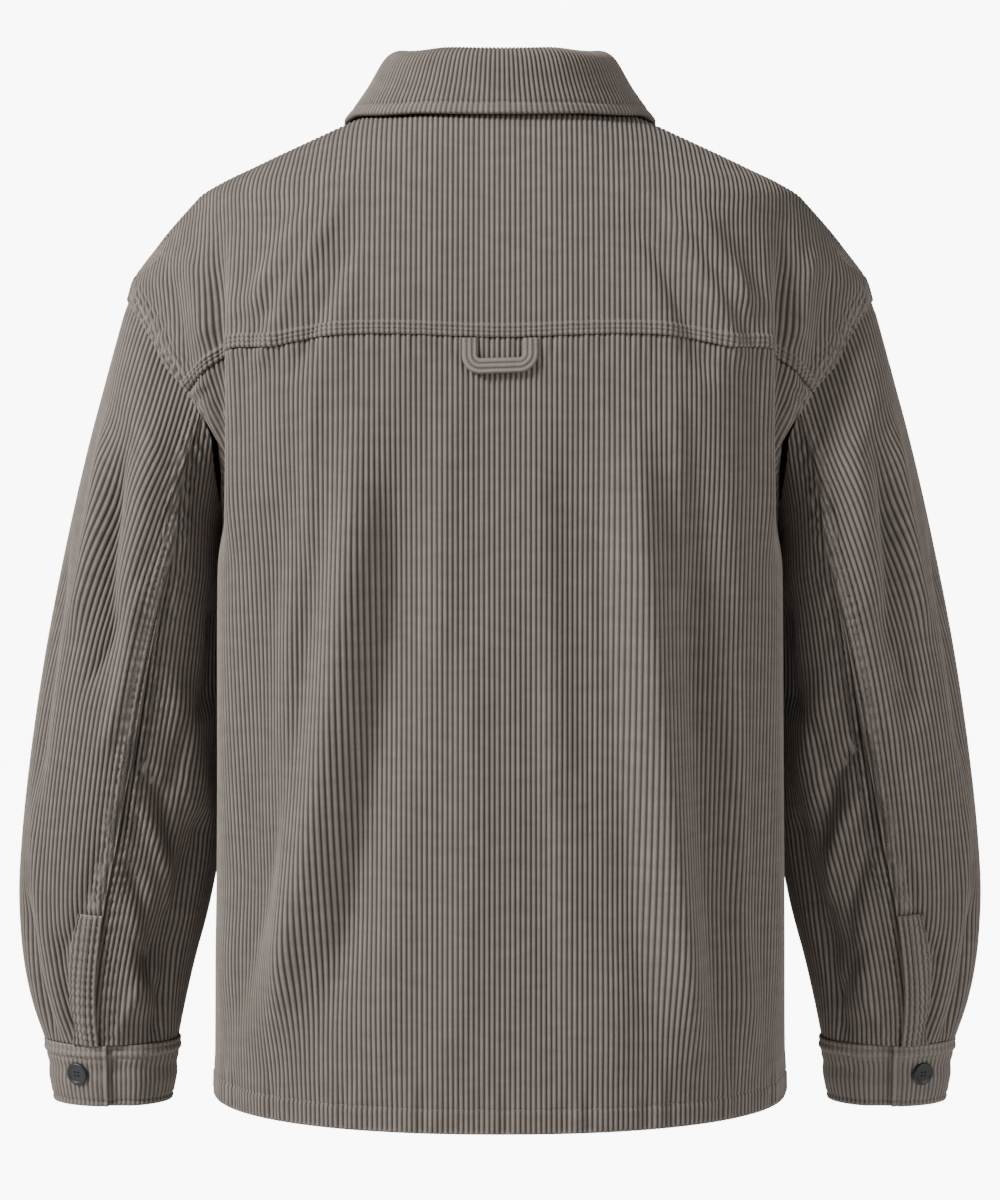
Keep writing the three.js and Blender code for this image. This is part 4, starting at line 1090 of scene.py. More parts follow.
def body_facing(angle, side):
    """The way the creased body faces."""
    return normal_of(body_skin, angle, side, 0.004, 0.8, HEM_LEVEL, NECK_LEVEL)


def back_cloth(pitch):
    """The back panel, eased in small waves where it is sewn to the yoke."""
    sides = spread(HEM_LEVEL, HEM_FINE, PANEL_FINE, 5.6, YOKE_LEVEL - SEAM_GAP / 2)
    angles, lengths = ring_arcs(sides, back_edge_angle(sides))
    places = wale_columns(pitch, -lengths.max(), lengths.max())
    turn = np.array([
        np.interp(np.abs(places), length, angle) * np.sign(places)
        for length, angle in zip(lengths, angles)])
    points = body_skin(turn, sides[:, None])
    along = arc_lengths(points, 0)[:, len(places) // 2][:, None]
    limit = lengths[:, -1:]
    wales = np.clip(places[None, :], -limit, limit) / pitch
    cloth = Cloth(points, wales, along, 1, body_facing(turn, sides[:, None]))
    gap = along[-1, 0] - cloth.along
    wave = np.sin(cloth.wales * 1.9 + np.sin(cloth.wales * 0.7) * 2)
    cloth.lift = 0.5 * wave * smoothstep(26, 2, gap) - 0.5 * smoothstep(4, 0, gap)
    return body_sewing(cloth, pitch, True)


def front_cloth(pitch, mirror):
    """A front, from its lapped edge round to the side seam, armhole, yoke or neck. The mirrored
    one lies under the other where they lap."""
    sides = spread(HEM_LEVEL, HEM_FINE, PANEL_FINE[:4], 6.2, NECK_LEVEL)
    edge = front_edge_angle(sides)
    share = np.linspace(0, 1, RING_SAMPLES)
    angles = np.pi + (edge - np.pi)[:, None] * share[None, :]
    lengths = arc_lengths(body_ring(angles, sides[:, None]), 1)
    places = wale_columns(pitch, -FRONT_LAP, lengths.max())
    turn = np.array([
        np.pi - np.interp(np.abs(places), length, np.pi - angle) * np.sign(places)
        for length, angle in zip(lengths, angles)]) * (-1 if mirror else 1)
    points = body_skin(turn, sides[:, None])
    facing = body_facing(turn, sides[:, None])
    if mirror:
        points = points * [-1, 1, 1]
        facing = facing * [-1, 1, 1]
        lap = smoothstep(PLACKET_WIDTH - FRONT_LAP + 10, PLACKET_WIDTH - FRONT_LAP, places)
        points = points - facing * (lap * (WALL + LAID_GAP + BAND_RISE + 0.6))[None, :, None]
    along = arc_lengths(points, 0)[:, np.searchsorted(places, 40)][:, None]
    wales = np.minimum(places[None, :], lengths[:, -1:]) / pitch
    return body_sewing(Cloth(points, wales, along, -1, facing), pitch, True)


def plane_section(across, low_front):
    """The line over the shoulder at one place across, as angles and rings, from behind to front."""
    top = where_crossed(lambda side: body_ring(np.pi / 2, side)[..., 0] > across,
                        np.array(-60.0), np.array(float(NECK_LEVEL)))
    ease = np.sin(np.linspace(0, np.pi / 2, 400))
    back_sides = mix(YOKE_LEVEL - 60.0, float(top), ease)
    back = section_angles(across, back_sides, True)
    front_sides = mix(low_front, float(top), ease)[::-1]
    front = section_angles(across, front_sides, False)
    return np.concatenate([back, front[1:]]), np.concatenate([back_sides, front_sides[1:]])


def section_angles(across, sides, behind):
    """Angles at which rings reach a place across, behind the shoulder's ridge or in front of it."""
    way = 1 if behind else -1
    start = np.full(len(sides), 0 if behind else np.pi / 2)
    return where_crossed(lambda angle: body_ring(angle, sides)[..., 0] * way < across * way,
                         start, start + np.pi / 2)


def evened(angles, sides):
    """The same line on the body with its stations spaced evenly."""
    lengths = arc_lengths(body_ring(angles, sides)[None], 1)[0]
    even = np.linspace(0, lengths[-1], LINE_STATIONS)
    return np.interp(even, lengths, angles), np.interp(even, lengths, sides)


def body_stepped(angles, sides, step):
    """A line on the body moved sideways over it by a step."""
    by_angle = (body_ring(angles + 1e-3, sides) - body_ring(angles - 1e-3, sides)) / 2e-3
    by_side = (body_ring(angles, sides + 0.2) - body_ring(angles, sides - 0.2)) / 0.4
    more_angle, more_side = sidestep(body_ring(angles, sides), by_angle, by_side, step)
    return angles + more_angle, np.clip(sides + more_side, UNDERARM_LEVEL - 40, NECK_LEVEL)


def yoke_lines(pitch):
    """The left half's wales, each as a part behind the shoulder's ridge and a part in front of
    it: plane sections beside the neck, then each line a quarter wale further out than the last."""
    step = pitch / 4
    start = math.ceil(NECK_HALF_WIDTH / step + 0.5) * step
    back_sides = np.linspace(YOKE_LEVEL - 20.0, NECK_LEVEL, LINE_STATIONS)
    front_sides = np.linspace(NECK_LEVEL, -60.0, LINE_STATIONS)
    lines = []
    for across in np.arange(0, start - step / 2, step):
        back = section_angles(across, back_sides, True)
        front = section_angles(across, front_sides, False)
        lines.append((back, back_sides, front, front_sides))
    angles, sides = evened(*plane_section(start, -60.0))
    reached = 0
    for _ in range(MOST_LINES):
        ridge = int((angles < np.pi / 2).sum())
        top = np.interp(np.pi / 2, angles[ridge - 1:ridge + 1], sides[ridge - 1:ridge + 1])
        reach = body_ring(np.array(np.pi / 2), np.array(top))[0]
        if reach < reached or top < SHOULDER_LEVEL:
            break
        reached = reach
        lines.append((np.append(angles[:ridge], np.pi / 2), np.append(sides[:ridge], top),
                      np.append(np.pi / 2, angles[ridge:]), np.append(top, sides[ridge:])))
        angles, sides = body_stepped(angles, sides, step)
        angles, sides = np.clip(lengthened(angles), 0.02, 3.1), lengthened(sides)
        angles, sides = cut_line(yoke_inside(angles, sides) + YOKE_MARGIN, angles, sides)
        angles, sides = evened(softened(angles), softened(sides))
    tip = np.full(2, np.pi / 2), np.full(2, SHOULDER_LEVEL + 0.01)
    lines.append(tip + tip)
    return lines


def lengthened(values):
    """A line's values run on a little past both its ends."""
    return np.concatenate([[2 * values[0] - values[4]], values, [2 * values[-1] - values[-5]]])


def yoke_inside(angles, sides):
    """Above zero on the yoke, below it beyond the seam, the armhole and the front edge."""
    y = body_ring(angles, sides)[..., 1]
    low = sides - (YOKE_LEVEL + SEAM_GAP / 2)
    level = np.clip(sides, UNDERARM_LEVEL, SHOULDER_LEVEL)
    depth = ARMHOLE.at(armhole_part(level))["depth"]
    arm = np.where(sides <= SHOULDER_LEVEL, y - depth, FAR)
    part = np.clip((sides - SHOULDER_LEVEL) / (NECK_LEVEL - SHOULDER_LEVEL), 0, 1)
    front = np.where(sides > SHOULDER_LEVEL, y + YOKE_FORWARD * part ** 0.8, FAR)
    return np.minimum(np.minimum(low, arm), front)


def cut_line(inside, *coordinates):
    """The longest part of a line that lies inside a piece, cut off exactly at its edges."""
    good = np.where(inside >= 0)[0]
    if len(good) < 2:
        return None
    run = max(np.split(good, np.where(np.diff(good) > 1)[0] + 1), key=len)
    first, last = run[0], run[-1]
    parts = []
    for values in coordinates:
        part = values[first:last + 1]
        if first > 0:
            t = inside[first] / (inside[first] - inside[first - 1])
            part = np.append(mix(values[first], values[first - 1], t), part)
        if last < len(values) - 1:
            t = inside[last] / (inside[last] - inside[last + 1])
            part = np.append(part, mix(values[last], values[last + 1], t))
        parts.append(part)
    return parts


def row_stations(total, fine, count, fine_end):
    """Row places along a line: a fixed number of them, closer together near its ends."""
    scale = min(1, total / 60)
    first = np.array(fine) * scale
    last = total - np.array(fine_end)[::-1] * scale
    return np.concatenate([first, np.linspace(first[-1], last[0], count + 2)[1:-1], last])


def yoke_cloths(pitch):
    """The yoke as three grids that meet: behind the ridge, and in front of it on each side."""
    backs, fronts, numbers = [], [], []
    for number, (back, back_sides, front, front_sides) in enumerate(yoke_lines(pitch)):
        behind = cut_line(yoke_inside(back, back_sides), back, back_sides)
        before = cut_line(yoke_inside(front, front_sides), front, front_sides)
        if behind is None:
            break
        a, s = behind
        lengths = arc_lengths(body_ring(a, s)[None], 1)[0]
        stations = row_stations(lengths[-1], YOKE_FINE, 40, [0])
        backs.append((np.interp(stations, lengths, a), np.interp(stations, lengths, s), stations))
        if before is None:
            if not fronts:
                continue
            before = a[-1:], s[-1:]
        a, s = before
        lengths = arc_lengths(body_ring(a, s)[None], 1)[0]
        ahead = np.linspace(0, lengths[-1], 16)
        fronts.append((np.interp(ahead, lengths, a), np.interp(ahead, lengths, s),
                       stations[-1] + ahead))
        numbers.append(number)
    back = np.array(backs).transpose(1, 2, 0)
    front = np.array(fronts).transpose(1, 2, 0)
    mirrored = back[:, :, :0:-1] * np.array([-1, 1, 1])[:, None, None]
    back = np.concatenate([mirrored, back], axis=2)
    every = np.arange(1 - len(backs), len(backs)) / 4
    numbers = np.array(numbers) / 4
    other = front[:, :, ::-1] * np.array([-1, 1, 1])[:, None, None]
    cloths = []
    for (angles, sides, along), wales in (
            (back, every), (front, numbers), (other, -numbers[::-1])):
        cloth = Cloth(body_skin(angles, sides), wales[None, :], along, 1, body_facing(angles, sides))
        on_seam = (np.abs(sides[0] - YOKE_LEVEL) < 1)[None, :] & (len(cloths) == 0)
        cloth.from_seam = np.where(on_seam, along, FAR)
        cloths.append(body_sewing(cloth, pitch, False, cloth.from_seam))
    return cloths


def first_line(smooth, beside, inward, low, high):
    """A line down a sleeve that stays a distance in from a lengthwise one, seen from behind."""
    ring = np.linspace(0, SLEEVE_END, LINE_STATIONS)
    turns = np.linspace(low, high, 120)
    turn = np.empty(LINE_STATIONS)
    for i, level in enumerate(ring):
        x = smooth.read(smooth.places, turns, np.full(120, level))[:, 0]
        edge = np.interp(beside, turns, x)
        turn[i] = np.interp(inward - edge, -x, turns)
    for _ in range(60):
        turn = softened(turn, 0.5)
    return turn, ring


def sleeve_lines(smooth, pitch, first, low, high):
    """Lines of a sleeve piece's wales, and their numbers: each runs a quarter wale beside the one
    before it and is cut off by the armhole, the seams and the cuff."""
    lines = {}
    for way in (1, -1):
        turn, ring = first
        for number in range(0, way * MOST_LINES, way):
            turn, ring, length = smooth.evened(turn, ring)
            if length < 6:
                break
            lines[number] = (turn, ring)
            turn, ring = smooth.stepped(turn, ring, way * pitch / 4)
            turn, ring = run_on(turn, ring, low, high)
            inside = np.minimum(np.minimum(ring, SLEEVE_END - ring),
                                np.minimum(turn - low, high - turn) * 40)
            cut = cut_line(inside, turn, ring)
            if cut is None:
                break
            turn, ring = cut
    numbers = sorted(lines)
    return [lines[number] for number in numbers], np.array(numbers) / 4


def run_on(turn, ring, low, high):
    """A line drawn on straight to the armhole and the cuff where it stops short of them."""
    if ring[0] > 0 and low < turn[0] < high:
        slope = (turn[4] - turn[0]) / max(ring[4] - ring[0], 1e-4)
        turn = np.append(turn[0] - slope * ring[0], turn)
        ring = np.append(0, ring)
    if ring[-1] < SLEEVE_END and low < turn[-1] < high:
        slope = (turn[-1] - turn[-5]) / max(ring[-1] - ring[-5], 1e-4)
        turn = np.append(turn, turn[-1] + slope * (SLEEVE_END - ring[-1]))
        ring = np.append(ring, SLEEVE_END)
    return turn, ring


def sleeve_cloth(surface, lines, wales, is_top):
    """A top sleeve, with its back edge lapped over and stitched, or an under sleeve."""
    turns, rings = [], []
    for turn, ring in lines:
        lengths = arc_lengths(surface.read(surface.places, turn, ring)[None], 1)[0]
        stations = row_stations(lengths[-1], SLEEVE_FINE, 104, SLEEVE_FINE)
        turns.append(np.interp(stations, lengths, turn))
        rings.append(np.interp(stations, lengths, ring))
    turn = np.array(turns).T[::-1]
    ring = np.array(rings).T[::-1]
    outer = arc_lengths(surface.places, 0)[:, np.searchsorted(surface.turns, -1e-9)]
    along = np.interp(ring, surface.rings, outer)
    cloth = Cloth(surface.read(surface.places, turn, ring), wales[None, :], along, -1,
                  unit(surface.read(surface.facing, turn, ring)))
    from_seam = np.abs(surface.from_line(turn, ring, SLEEVE_SEAM_START))
    at_armhole = smoothstep(0.2, 0, ring)
    cloth.lift = -0.9 * at_armhole + pucker(along, from_seam, 22, 9.5)
    if is_top:
        band = smoothstep(SLEEVE_SEAM_BAND + 1.5, SLEEVE_SEAM_BAND, from_seam)
        cloth.lift = cloth.lift + BAND_RISE * band + pillow(from_seam, SLEEVE_ROWS, 1.2)
        cloth.flat = 0.3 * band
    else:
        cloth.lift = cloth.lift - 0.9 * smoothstep(4, 0, from_seam)
    return cloth


def sleeve_placket_cloth(surface, pitch):
    """The sleeve placket: a strip laid on the top sleeve along the back seam's lower end."""
    across = wale_columns(pitch, 0, SLEEVE_PLACKET_WIDTH)[::-1]
    rings = np.linspace(SLEEVE_END, PLACKET_RING, 60)
    turn = np.array([surface.beside_line(SLEEVE_SEAM_START, rings, -distance)
                     for distance in across]).T
    ring = np.broadcast_to(rings[:, None], turn.shape)
    facing = unit(surface.read(surface.facing, turn, ring))
    places = surface.read(surface.places, turn, ring)
    places = places + facing * (BAND_RISE + LAID_GAP + STRIP_WALL)
    along = arc_lengths(places, 0)[:, :1]
    strip = Cloth(places, (across / pitch)[None, :], along, -1, facing)
    strip.across = np.broadcast_to(across[None, :], turn.shape)
    strip.from_end = np.broadcast_to(along[-1] - along, turn.shape)
    edge = np.minimum(np.minimum(strip.across, SLEEVE_PLACKET_WIDTH - strip.across), strip.from_end)
    strip.lift = pillow(strip.across, PLACKET_ROWS, 0.9, 0.9)
    strip.lift = strip.lift + pillow(strip.from_end, PLACKET_END_ROWS, 0.7, 0.9)
    strip.lift = strip.lift + 0.6 * pucker(along, strip.across, 40, 7)
    strip.flat = 0.45 * smoothstep(2, 0, edge) + 0.15
    return strip


def cuff_cloth(pitch):
    """A cuff, wound once round the wrist from its buttoned end and a little further under it."""
    heights = CUFF.rows[0, 0] + np.array(CUFF_FINE)
    degrees = np.linspace(CUFF_OVER_END, CUFF_OVER_END - 360 - CUFF_LAP, CUFF_SAMPLES)
    wound = CUFF_OVER_END - degrees
    inward = (CUFF_WALL + LAID_GAP + 0.35) * smoothstep(330, 352, wound)
    row = CUFF.at(heights)
    turn = np.radians(degrees)
    x = CUFF_CENTRE_X + (row["halfWidth"][:, None] - inward) * np.cos(turn)
    y = CUFF_CENTRE_Y + (row["halfDepth"][:, None] - inward) * np.sin(turn)
    places = point(x, y, heights[:, None])
    lengths = arc_lengths(places, 1)
    stations = wale_columns(pitch, 0, lengths[12, -1])
    columns = np.interp(stations, lengths[12], np.arange(CUFF_SAMPLES))
    low = np.floor(columns).astype(int)
    high = np.minimum(low + 1, CUFF_SAMPLES - 1)
    points = mix(places[:, low], places[:, high], (columns - low)[None, :, None])
    up = heights - heights[0]
    cloth = Cloth(points, (stations / pitch)[None, :], up[:, None])
    wave = np.sin(stations * 0.19) * 0.35 + np.sin(stations * 0.071 + 1) * 0.35
    cloth.lift = cloth.lift + (wave[None, :] * np.sin(np.pi * up / up[-1])[:, None])
    top_band = smoothstep(CUFF_TOP_BAND - 2.2, CUFF_TOP_BAND, up)
    bulge = 1.7 * smoothstep(0, 28, up) * smoothstep(38, 34, up)
    cloth.lift = cloth.lift + (pillow(up, CUFF_ROWS, 1.2, 0.9) + bulge)[:, None]
    end = stations[None, :]
    cloth.lift = cloth.lift + pillow(end, (CUFF_END_ROW,), 1.1, 0.9)
    edge = np.minimum(np.minimum(up[:, None], end), up[-1] - up[:, None])
    cloth.flat = np.maximum(cloth.flat, 0.25 + 0.5 * smoothstep(2.5, 0, edge))
    cloth.flat = np.maximum(cloth.flat, 0.6 * top_band[:, None])
    cloth.flat = np.maximum(cloth.flat, 0.75 * smoothstep(6, 4, end))
    return cloth


def strip_cloth(cloth, columns, wall, gap):
    """A strip laid on some of a panel's columns, on its outer points."""
    facing = cloth.facing[:, columns]
    lifted = cloth.places[:, columns] + facing * (cloth.lift[:, columns] + gap + wall)[..., None]
    return Cloth(lifted, cloth.wales[:, columns], cloth.along[:, columns], cloth.outward, facing)


def collar_fall_points(degrees, shares):
    """The fall from the top of the stand over its roll to its turned-down edge."""
    side = np.where(degrees < 0, -1, 1)
    angle = np.abs(degrees)
    row = FALL_EDGE.at(angle)
    body_angle = np.radians(row["place"])
    edge = body_ring(body_angle, row["side"])
    edge = edge + body_normal(body_angle, row["side"]) * row["standOff"][:, None]
    neck = body_ring(np.radians(angle), np.full_like(angle, NECK_LEVEL))
    height = mix(STAND_HEIGHT_BACK, STAND_HEIGHT_FRONT, smoothstep(0.1, 0.6, angle / 180))
    inward = unit(neck * [-1, -1, 0])
    base = neck + inward * (STAND_LEAN - 2.6)
    base[:, 2] += height + 0.4
    crest = base - inward * FALL_ROLL * 0.35
    crest[:, 2] += FALL_RISE
    shoulder = crest - inward * FALL_ROLL
    shoulder[:, 2] -= FALL_RISE * 0.25
    knots = [base, crest, shoulder, mix(edge, shoulder, 0.45), edge]
    out = curve_through(knots, shares)
    out[..., 0] *= side[None, :]
    return out


def curve_through(knots, shares):
    """Smooth lines through the same number of knots each, centripetal between them."""
    knots = [2 * knots[0] - knots[1], *knots, 2 * knots[-1] - knots[-2]]
    rows = []
    for share in shares:
        place = share * (len(knots) - 3)
        i = min(int(place), len(knots) - 4)
        t = place - i
        p0, p1, p2, p3 = knots[i:i + 4]
        d0 = np.maximum(np.linalg.norm(p1 - p0, axis=-1, keepdims=True), 1e-6) ** 0.5
        d1 = np.maximum(np.linalg.norm(p2 - p1, axis=-1, keepdims=True), 1e-6) ** 0.5
        d2 = np.maximum(np.linalg.norm(p3 - p2, axis=-1, keepdims=True), 1e-6) ** 0.5
        t1 = ((p1 - p0) / d0 - (p2 - p0) / (d0 + d1) + (p2 - p1) / d1) * d1
        t2 = ((p2 - p1) / d1 - (p3 - p1) / (d1 + d2) + (p3 - p2) / d2) * d1
        rows.append(p1 * (2 * t ** 3 - 3 * t ** 2 + 1) + t1 * (t ** 3 - 2 * t ** 2 + t)
                    + p2 * (3 * t ** 2 - 2 * t ** 3) + t2 * (t ** 3 - t ** 2))
    return np.array(rows)


def collar_fall_cloth(pitch):
    """The collar fall, stitched round its outer edges."""
    shares = np.concatenate([np.linspace(0, 0.8, 26), np.linspace(0.82, 1, 16)])
    dense = np.linspace(-FALL_ENDS, FALL_ENDS, COLLAR_SAMPLES)
    places = collar_fall_points(dense, shares)
    lengths = arc_lengths(places, 1)
    middle = lengths[28] - np.interp(0, dense, lengths[28])
    stations = wale_columns(pitch, middle[0], middle[-1])
    degrees = np.interp(stations, middle, dense)
    points = collar_fall_points(degrees, shares)
    along = arc_lengths(points, 0)
    gap = along[-1][None, :] - along
    end = np.minimum(stations - stations[0], stations[-1] - stations)[None, :]
    edge = np.minimum(gap, end)
    cloth = Cloth(points, (stations / pitch)[None, :], along, -1)
    cloth.lift = cloth.lift + pillow(edge, (FALL_ROW,), 1.0, 1.0) + 0.5 * smoothstep(9, 7, edge)
    cloth.lift = cloth.lift - 1.2 * smoothstep(1.6, 0, gap) ** 2
    cloth.flat = np.maximum(cloth.flat, 0.25 * smoothstep(9, 7, edge))
    cloth.from_edge = np.where(end > FALL_ROW, gap, FAR)
    cloth.from_left = np.where(gap > FALL_ROW, (stations - stations[0])[None, :], FAR)
    cloth.from_right = np.where(gap > FALL_ROW, (stations[-1] - stations)[None, :], FAR)
    return cloth


def collar_stand_cloth(pitch):
    """The collar stand, rising from the neck and leaning in."""
    dense = np.linspace(-180, 180, COLLAR_SAMPLES)
    neck = body_ring(np.radians(dense), np.full(COLLAR_SAMPLES, float(NECK_LEVEL)))
    lengths = arc_lengths(neck[None], 1)[0]
    middle = lengths - lengths[-1] / 2
    stations = wale_columns(pitch, middle[0] + 2, middle[-1] - 2)
    degrees = np.interp(stations, middle, dense)
    base = body_ring(np.radians(degrees), np.full(len(stations), float(NECK_LEVEL)))
    turn = np.abs(degrees) / 180
    full = mix(STAND_HEIGHT_BACK, STAND_HEIGHT_FRONT, smoothstep(0.1, 0.6, turn))
    inward = unit(base * [-1, -1, 0])
    shares = np.linspace(0.02, 1, 9)
    points = base[None] + inward[None] * (STAND_LEAN * shares)[:, None, None]
    points[..., 2] += full[None, :] * shares[:, None]
    return Cloth(points, (stations / pitch)[None, :], full[None, :] * shares[:, None])


def loop_cloth(pitch, seam):
    """The hanging loop: a strap that runs down from the seam, across and up again."""
    corner = LOOP_CORNER - LOOP_STRAP / 2 + 3.5
    side, low = LOOP_HALF_WIDTH - LOOP_STRAP / 2, LOOP_DROP - LOOP_STRAP / 2
    turn = np.linspace(0, np.pi / 2, 12)
    x = np.concatenate([
        [side] * 8, side - corner + corner * np.cos(turn), np.linspace(side - corner, 0, 10)[1:]])
    drop = np.concatenate([
        np.linspace(-1, low - corner, 9)[:-1], low - corner + corner * np.sin(turn), [low] * 9])
    x = np.concatenate([x, -x[-2::-1]])
    drop = np.concatenate([drop, drop[-2::-1]])
    ahead = unit(np.stack([np.gradient(x), np.gradient(drop)], -1))
    across = np.arange(-6, 7) * (LOOP_STRAP / 12)
    x = x[:, None] - ahead[:, 1:] * across
    drop = drop[:, None] + ahead[:, :1] * across
    drop = np.maximum(drop, 0) + 1.1 * (x / LOOP_HALF_WIDTH) * (drop / LOOP_DROP)
    tilt, rise = math.sin(LOOP_LEAN), math.cos(LOOP_LEAN)
    stand = seam[1] + LOOP_THICK + LAID_GAP
    places = point(x, stand + drop * tilt, seam[2] - SEAM_GAP - drop * rise)
    facing = np.broadcast_to(np.array([0, rise, tilt]), places.shape)
    along = arc_lengths(places, 0)[:, 6:7]
    cloth = Cloth(places, (across / pitch + 0.5)[None, :], along, 1, facing)
    edge = LOOP_STRAP / 2 - np.abs(across)
    cloth.lift = cloth.lift + (pillow(across, LOOP_ROWS, 0.5, 0.8) - 0.8 * smoothstep(1.6, 0, edge))
    cloth.flat = np.broadcast_to(0.3 + 0.3 * smoothstep(2, 0, edge), cloth.flat.shape)
    cloth.across = np.broadcast_to(across[None, :], cloth.flat.shape)
    return cloth


def crossing(cloth, field, level, rise, axis=0):
    """The line on a cloth where a distance first passes a level along its columns, or along its
    rows if axis is 1, with the way it faces."""
    outer = cloth.places + cloth.facing * (cloth.lift + rise)[..., None]
    facing = cloth.facing
    if axis:
        outer, facing, field = outer.swapaxes(0, 1), facing.swapaxes(0, 1), field.T
    low, high = field[:-1] - level, field[1:] - level
    hit = (low * high <= 0) & (low != high)
    columns = np.where(hit.any(axis=0))[0]
    rows = np.argmax(hit[:, columns], axis=0)
    t = low[rows, columns] / (low[rows, columns] - high[rows, columns])
    return mix(outer[rows, columns], outer[rows + 1, columns], t[:, None]), facing[rows, columns]


class Seams:
    """Collects stitches along lines on the cloth and makes one mesh of them."""

    RINGS = ((0, 0.45, -0.5), (0.5, 1, 0.5), (1, 0.45, -0.5))
    CORNERS = ((1, 0), (0, 1), (-1, 0), (0, -1))

    def __init__(self, settings):
        self.length = settings.stitch_length
        self.thick = settings.stitch_thick
        self.points = []
        self.quads = []
        self.count = 0

    def along(self, places, ways, flip=False):
        """Stitches along a line of points, given with the way its surface faces at each."""
        if flip:
            places, ways = places * [-1, 1, 1], ways * [-1, 1, 1]
        if len(places) < 3:
            return
        breaks = np.where(np.linalg.norm(np.diff(places, axis=0), axis=1) > STITCH_BREAK)[0] + 1
        for part, way in zip(np.split(places, breaks), np.split(ways, breaks)):
            if len(part) > 2:
                self.run(part, way)

    def run(self, places, ways):
        lengths = arc_lengths(places[None], 1)[0]
        starts = np.arange(self.length * 0.2, lengths[-1] - self.length, self.length * STITCH_PERIOD)
        if not len(starts):
            return
        start, end = between(starts, lengths, places), between(starts + self.length, lengths, places)
        way = unit(between(starts + self.length / 2, lengths, ways))
        side = unit(np.cross(way, end - start)) * self.thick / 2
        way = way * self.thick / 2
        for share, wide, high in self.RINGS:
            centre = mix(start, end, share) + way * high
            for across, up in self.CORNERS:
                self.points.append(centre + side * across * wide + way * up * wide)
        faces = [(0, 3, 0, 2, 0, 1, 0, 0), (2, 0, 2, 1, 2, 2, 2, 3)]
        for ring in range(2):
            for corner in range(4):
                after = (corner + 1) % 4
                faces.append((ring, corner, ring, after, ring + 1, after, ring + 1, corner))
        corners = np.array(faces).reshape(-1, 1, 4, 2) @ [4, 1] * len(starts)
        self.quads.append((self.count + corners + np.arange(len(starts))[:, None]).reshape(-1, 4))
        self.count += 12 * len(starts)

    def make(self, name):
        points = np.concatenate(self.points)
        shape = shape_from(name, points, np.concatenate(self.quads), np.zeros((len(points), 2)),
                           np.zeros(len(points)))
        shape.data.materials.append(material_of("sewing_thread", thread_material))
        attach(shape, "root")
        return shape


def between(where, lengths, values):
    """Vectors read along a line at some of its lengths."""
    return np.stack([np.interp(where, lengths, values[:, k]) for k in range(3)], -1)


def button_mesh():
    """A four-hole button with a raised rim, its back on the plane z = 0."""
    segments = BUTTON_SEGMENTS
    turn = np.linspace(0, 2 * np.pi, segments, endpoint=False)
    rings = [(radius * np.cos(turn), radius * np.sin(turn), np.full(segments, height))
             for radius, height in BUTTON_PROFILE]
    points = np.array(rings).transpose(0, 2, 1).reshape(-1, 3)
    faces = []
    for ring in range(len(BUTTON_PROFILE) - 1):
        for i in range(segments):
            j = (i + 1) % segments
            low, high = ring * segments, (ring + 1) * segments
            faces.append((low + i, low + j, high + j, high + i))
    faces.append(tuple(range(segments))[::-1])
    faces.append(tuple(len(points) - segments + i for i in range(segments)))
    disc = plain_object("button_disc", points, faces)
    count = segments // 4
    sides = [(i, (i + 1) % count, count + (i + 1) % count, count + i) for i in range(count)]
    caps = [tuple(range(count))[::-1], tuple(count + i for i in range(count))]
    round_hole = point(BUTTON_HOLE * np.cos(turn[::4]), BUTTON_HOLE * np.sin(turn[::4]), -1.0)
    for across in (-BUTTON_SPREAD, BUTTON_SPREAD):
        for up in (-BUTTON_SPREAD, BUTTON_SPREAD):
            low = round_hole + [across, up, 0]
            ends = np.concatenate([low, low + [0, 0, BUTTON_DRILL_LENGTH]])
            cut = disc.modifiers.new("hole", "BOOLEAN")
            cut.operation = "DIFFERENCE"
            cut.object = plain_object("button_drill", ends, sides + caps)
    bpy.context.view_layer.update()
    made = disc.evaluated_get(bpy.context.evaluated_depsgraph_get())
    mesh = bpy.data.meshes.new_from_object(made)
    for shape in [disc, *[cut.object for cut in disc.modifiers]]:
        bpy.data.objects.remove(shape)
    mesh.polygons.foreach_set("use_smooth", np.ones(len(mesh.polygons), bool))
    mesh.set_sharp_from_angle(angle=math.radians(40))
    return mesh


def plain_object(name, points, faces):
    """A mesh object in metres, from points in millimetres and its faces."""
    mesh = bpy.data.meshes.new(name)
    mesh.from_pydata([tuple(place * MM) for place in points], [], faces)
    shape = bpy.data.objects.new(name, mesh)
    bpy.context.scene.collection.objects.link(shape)
    return shape


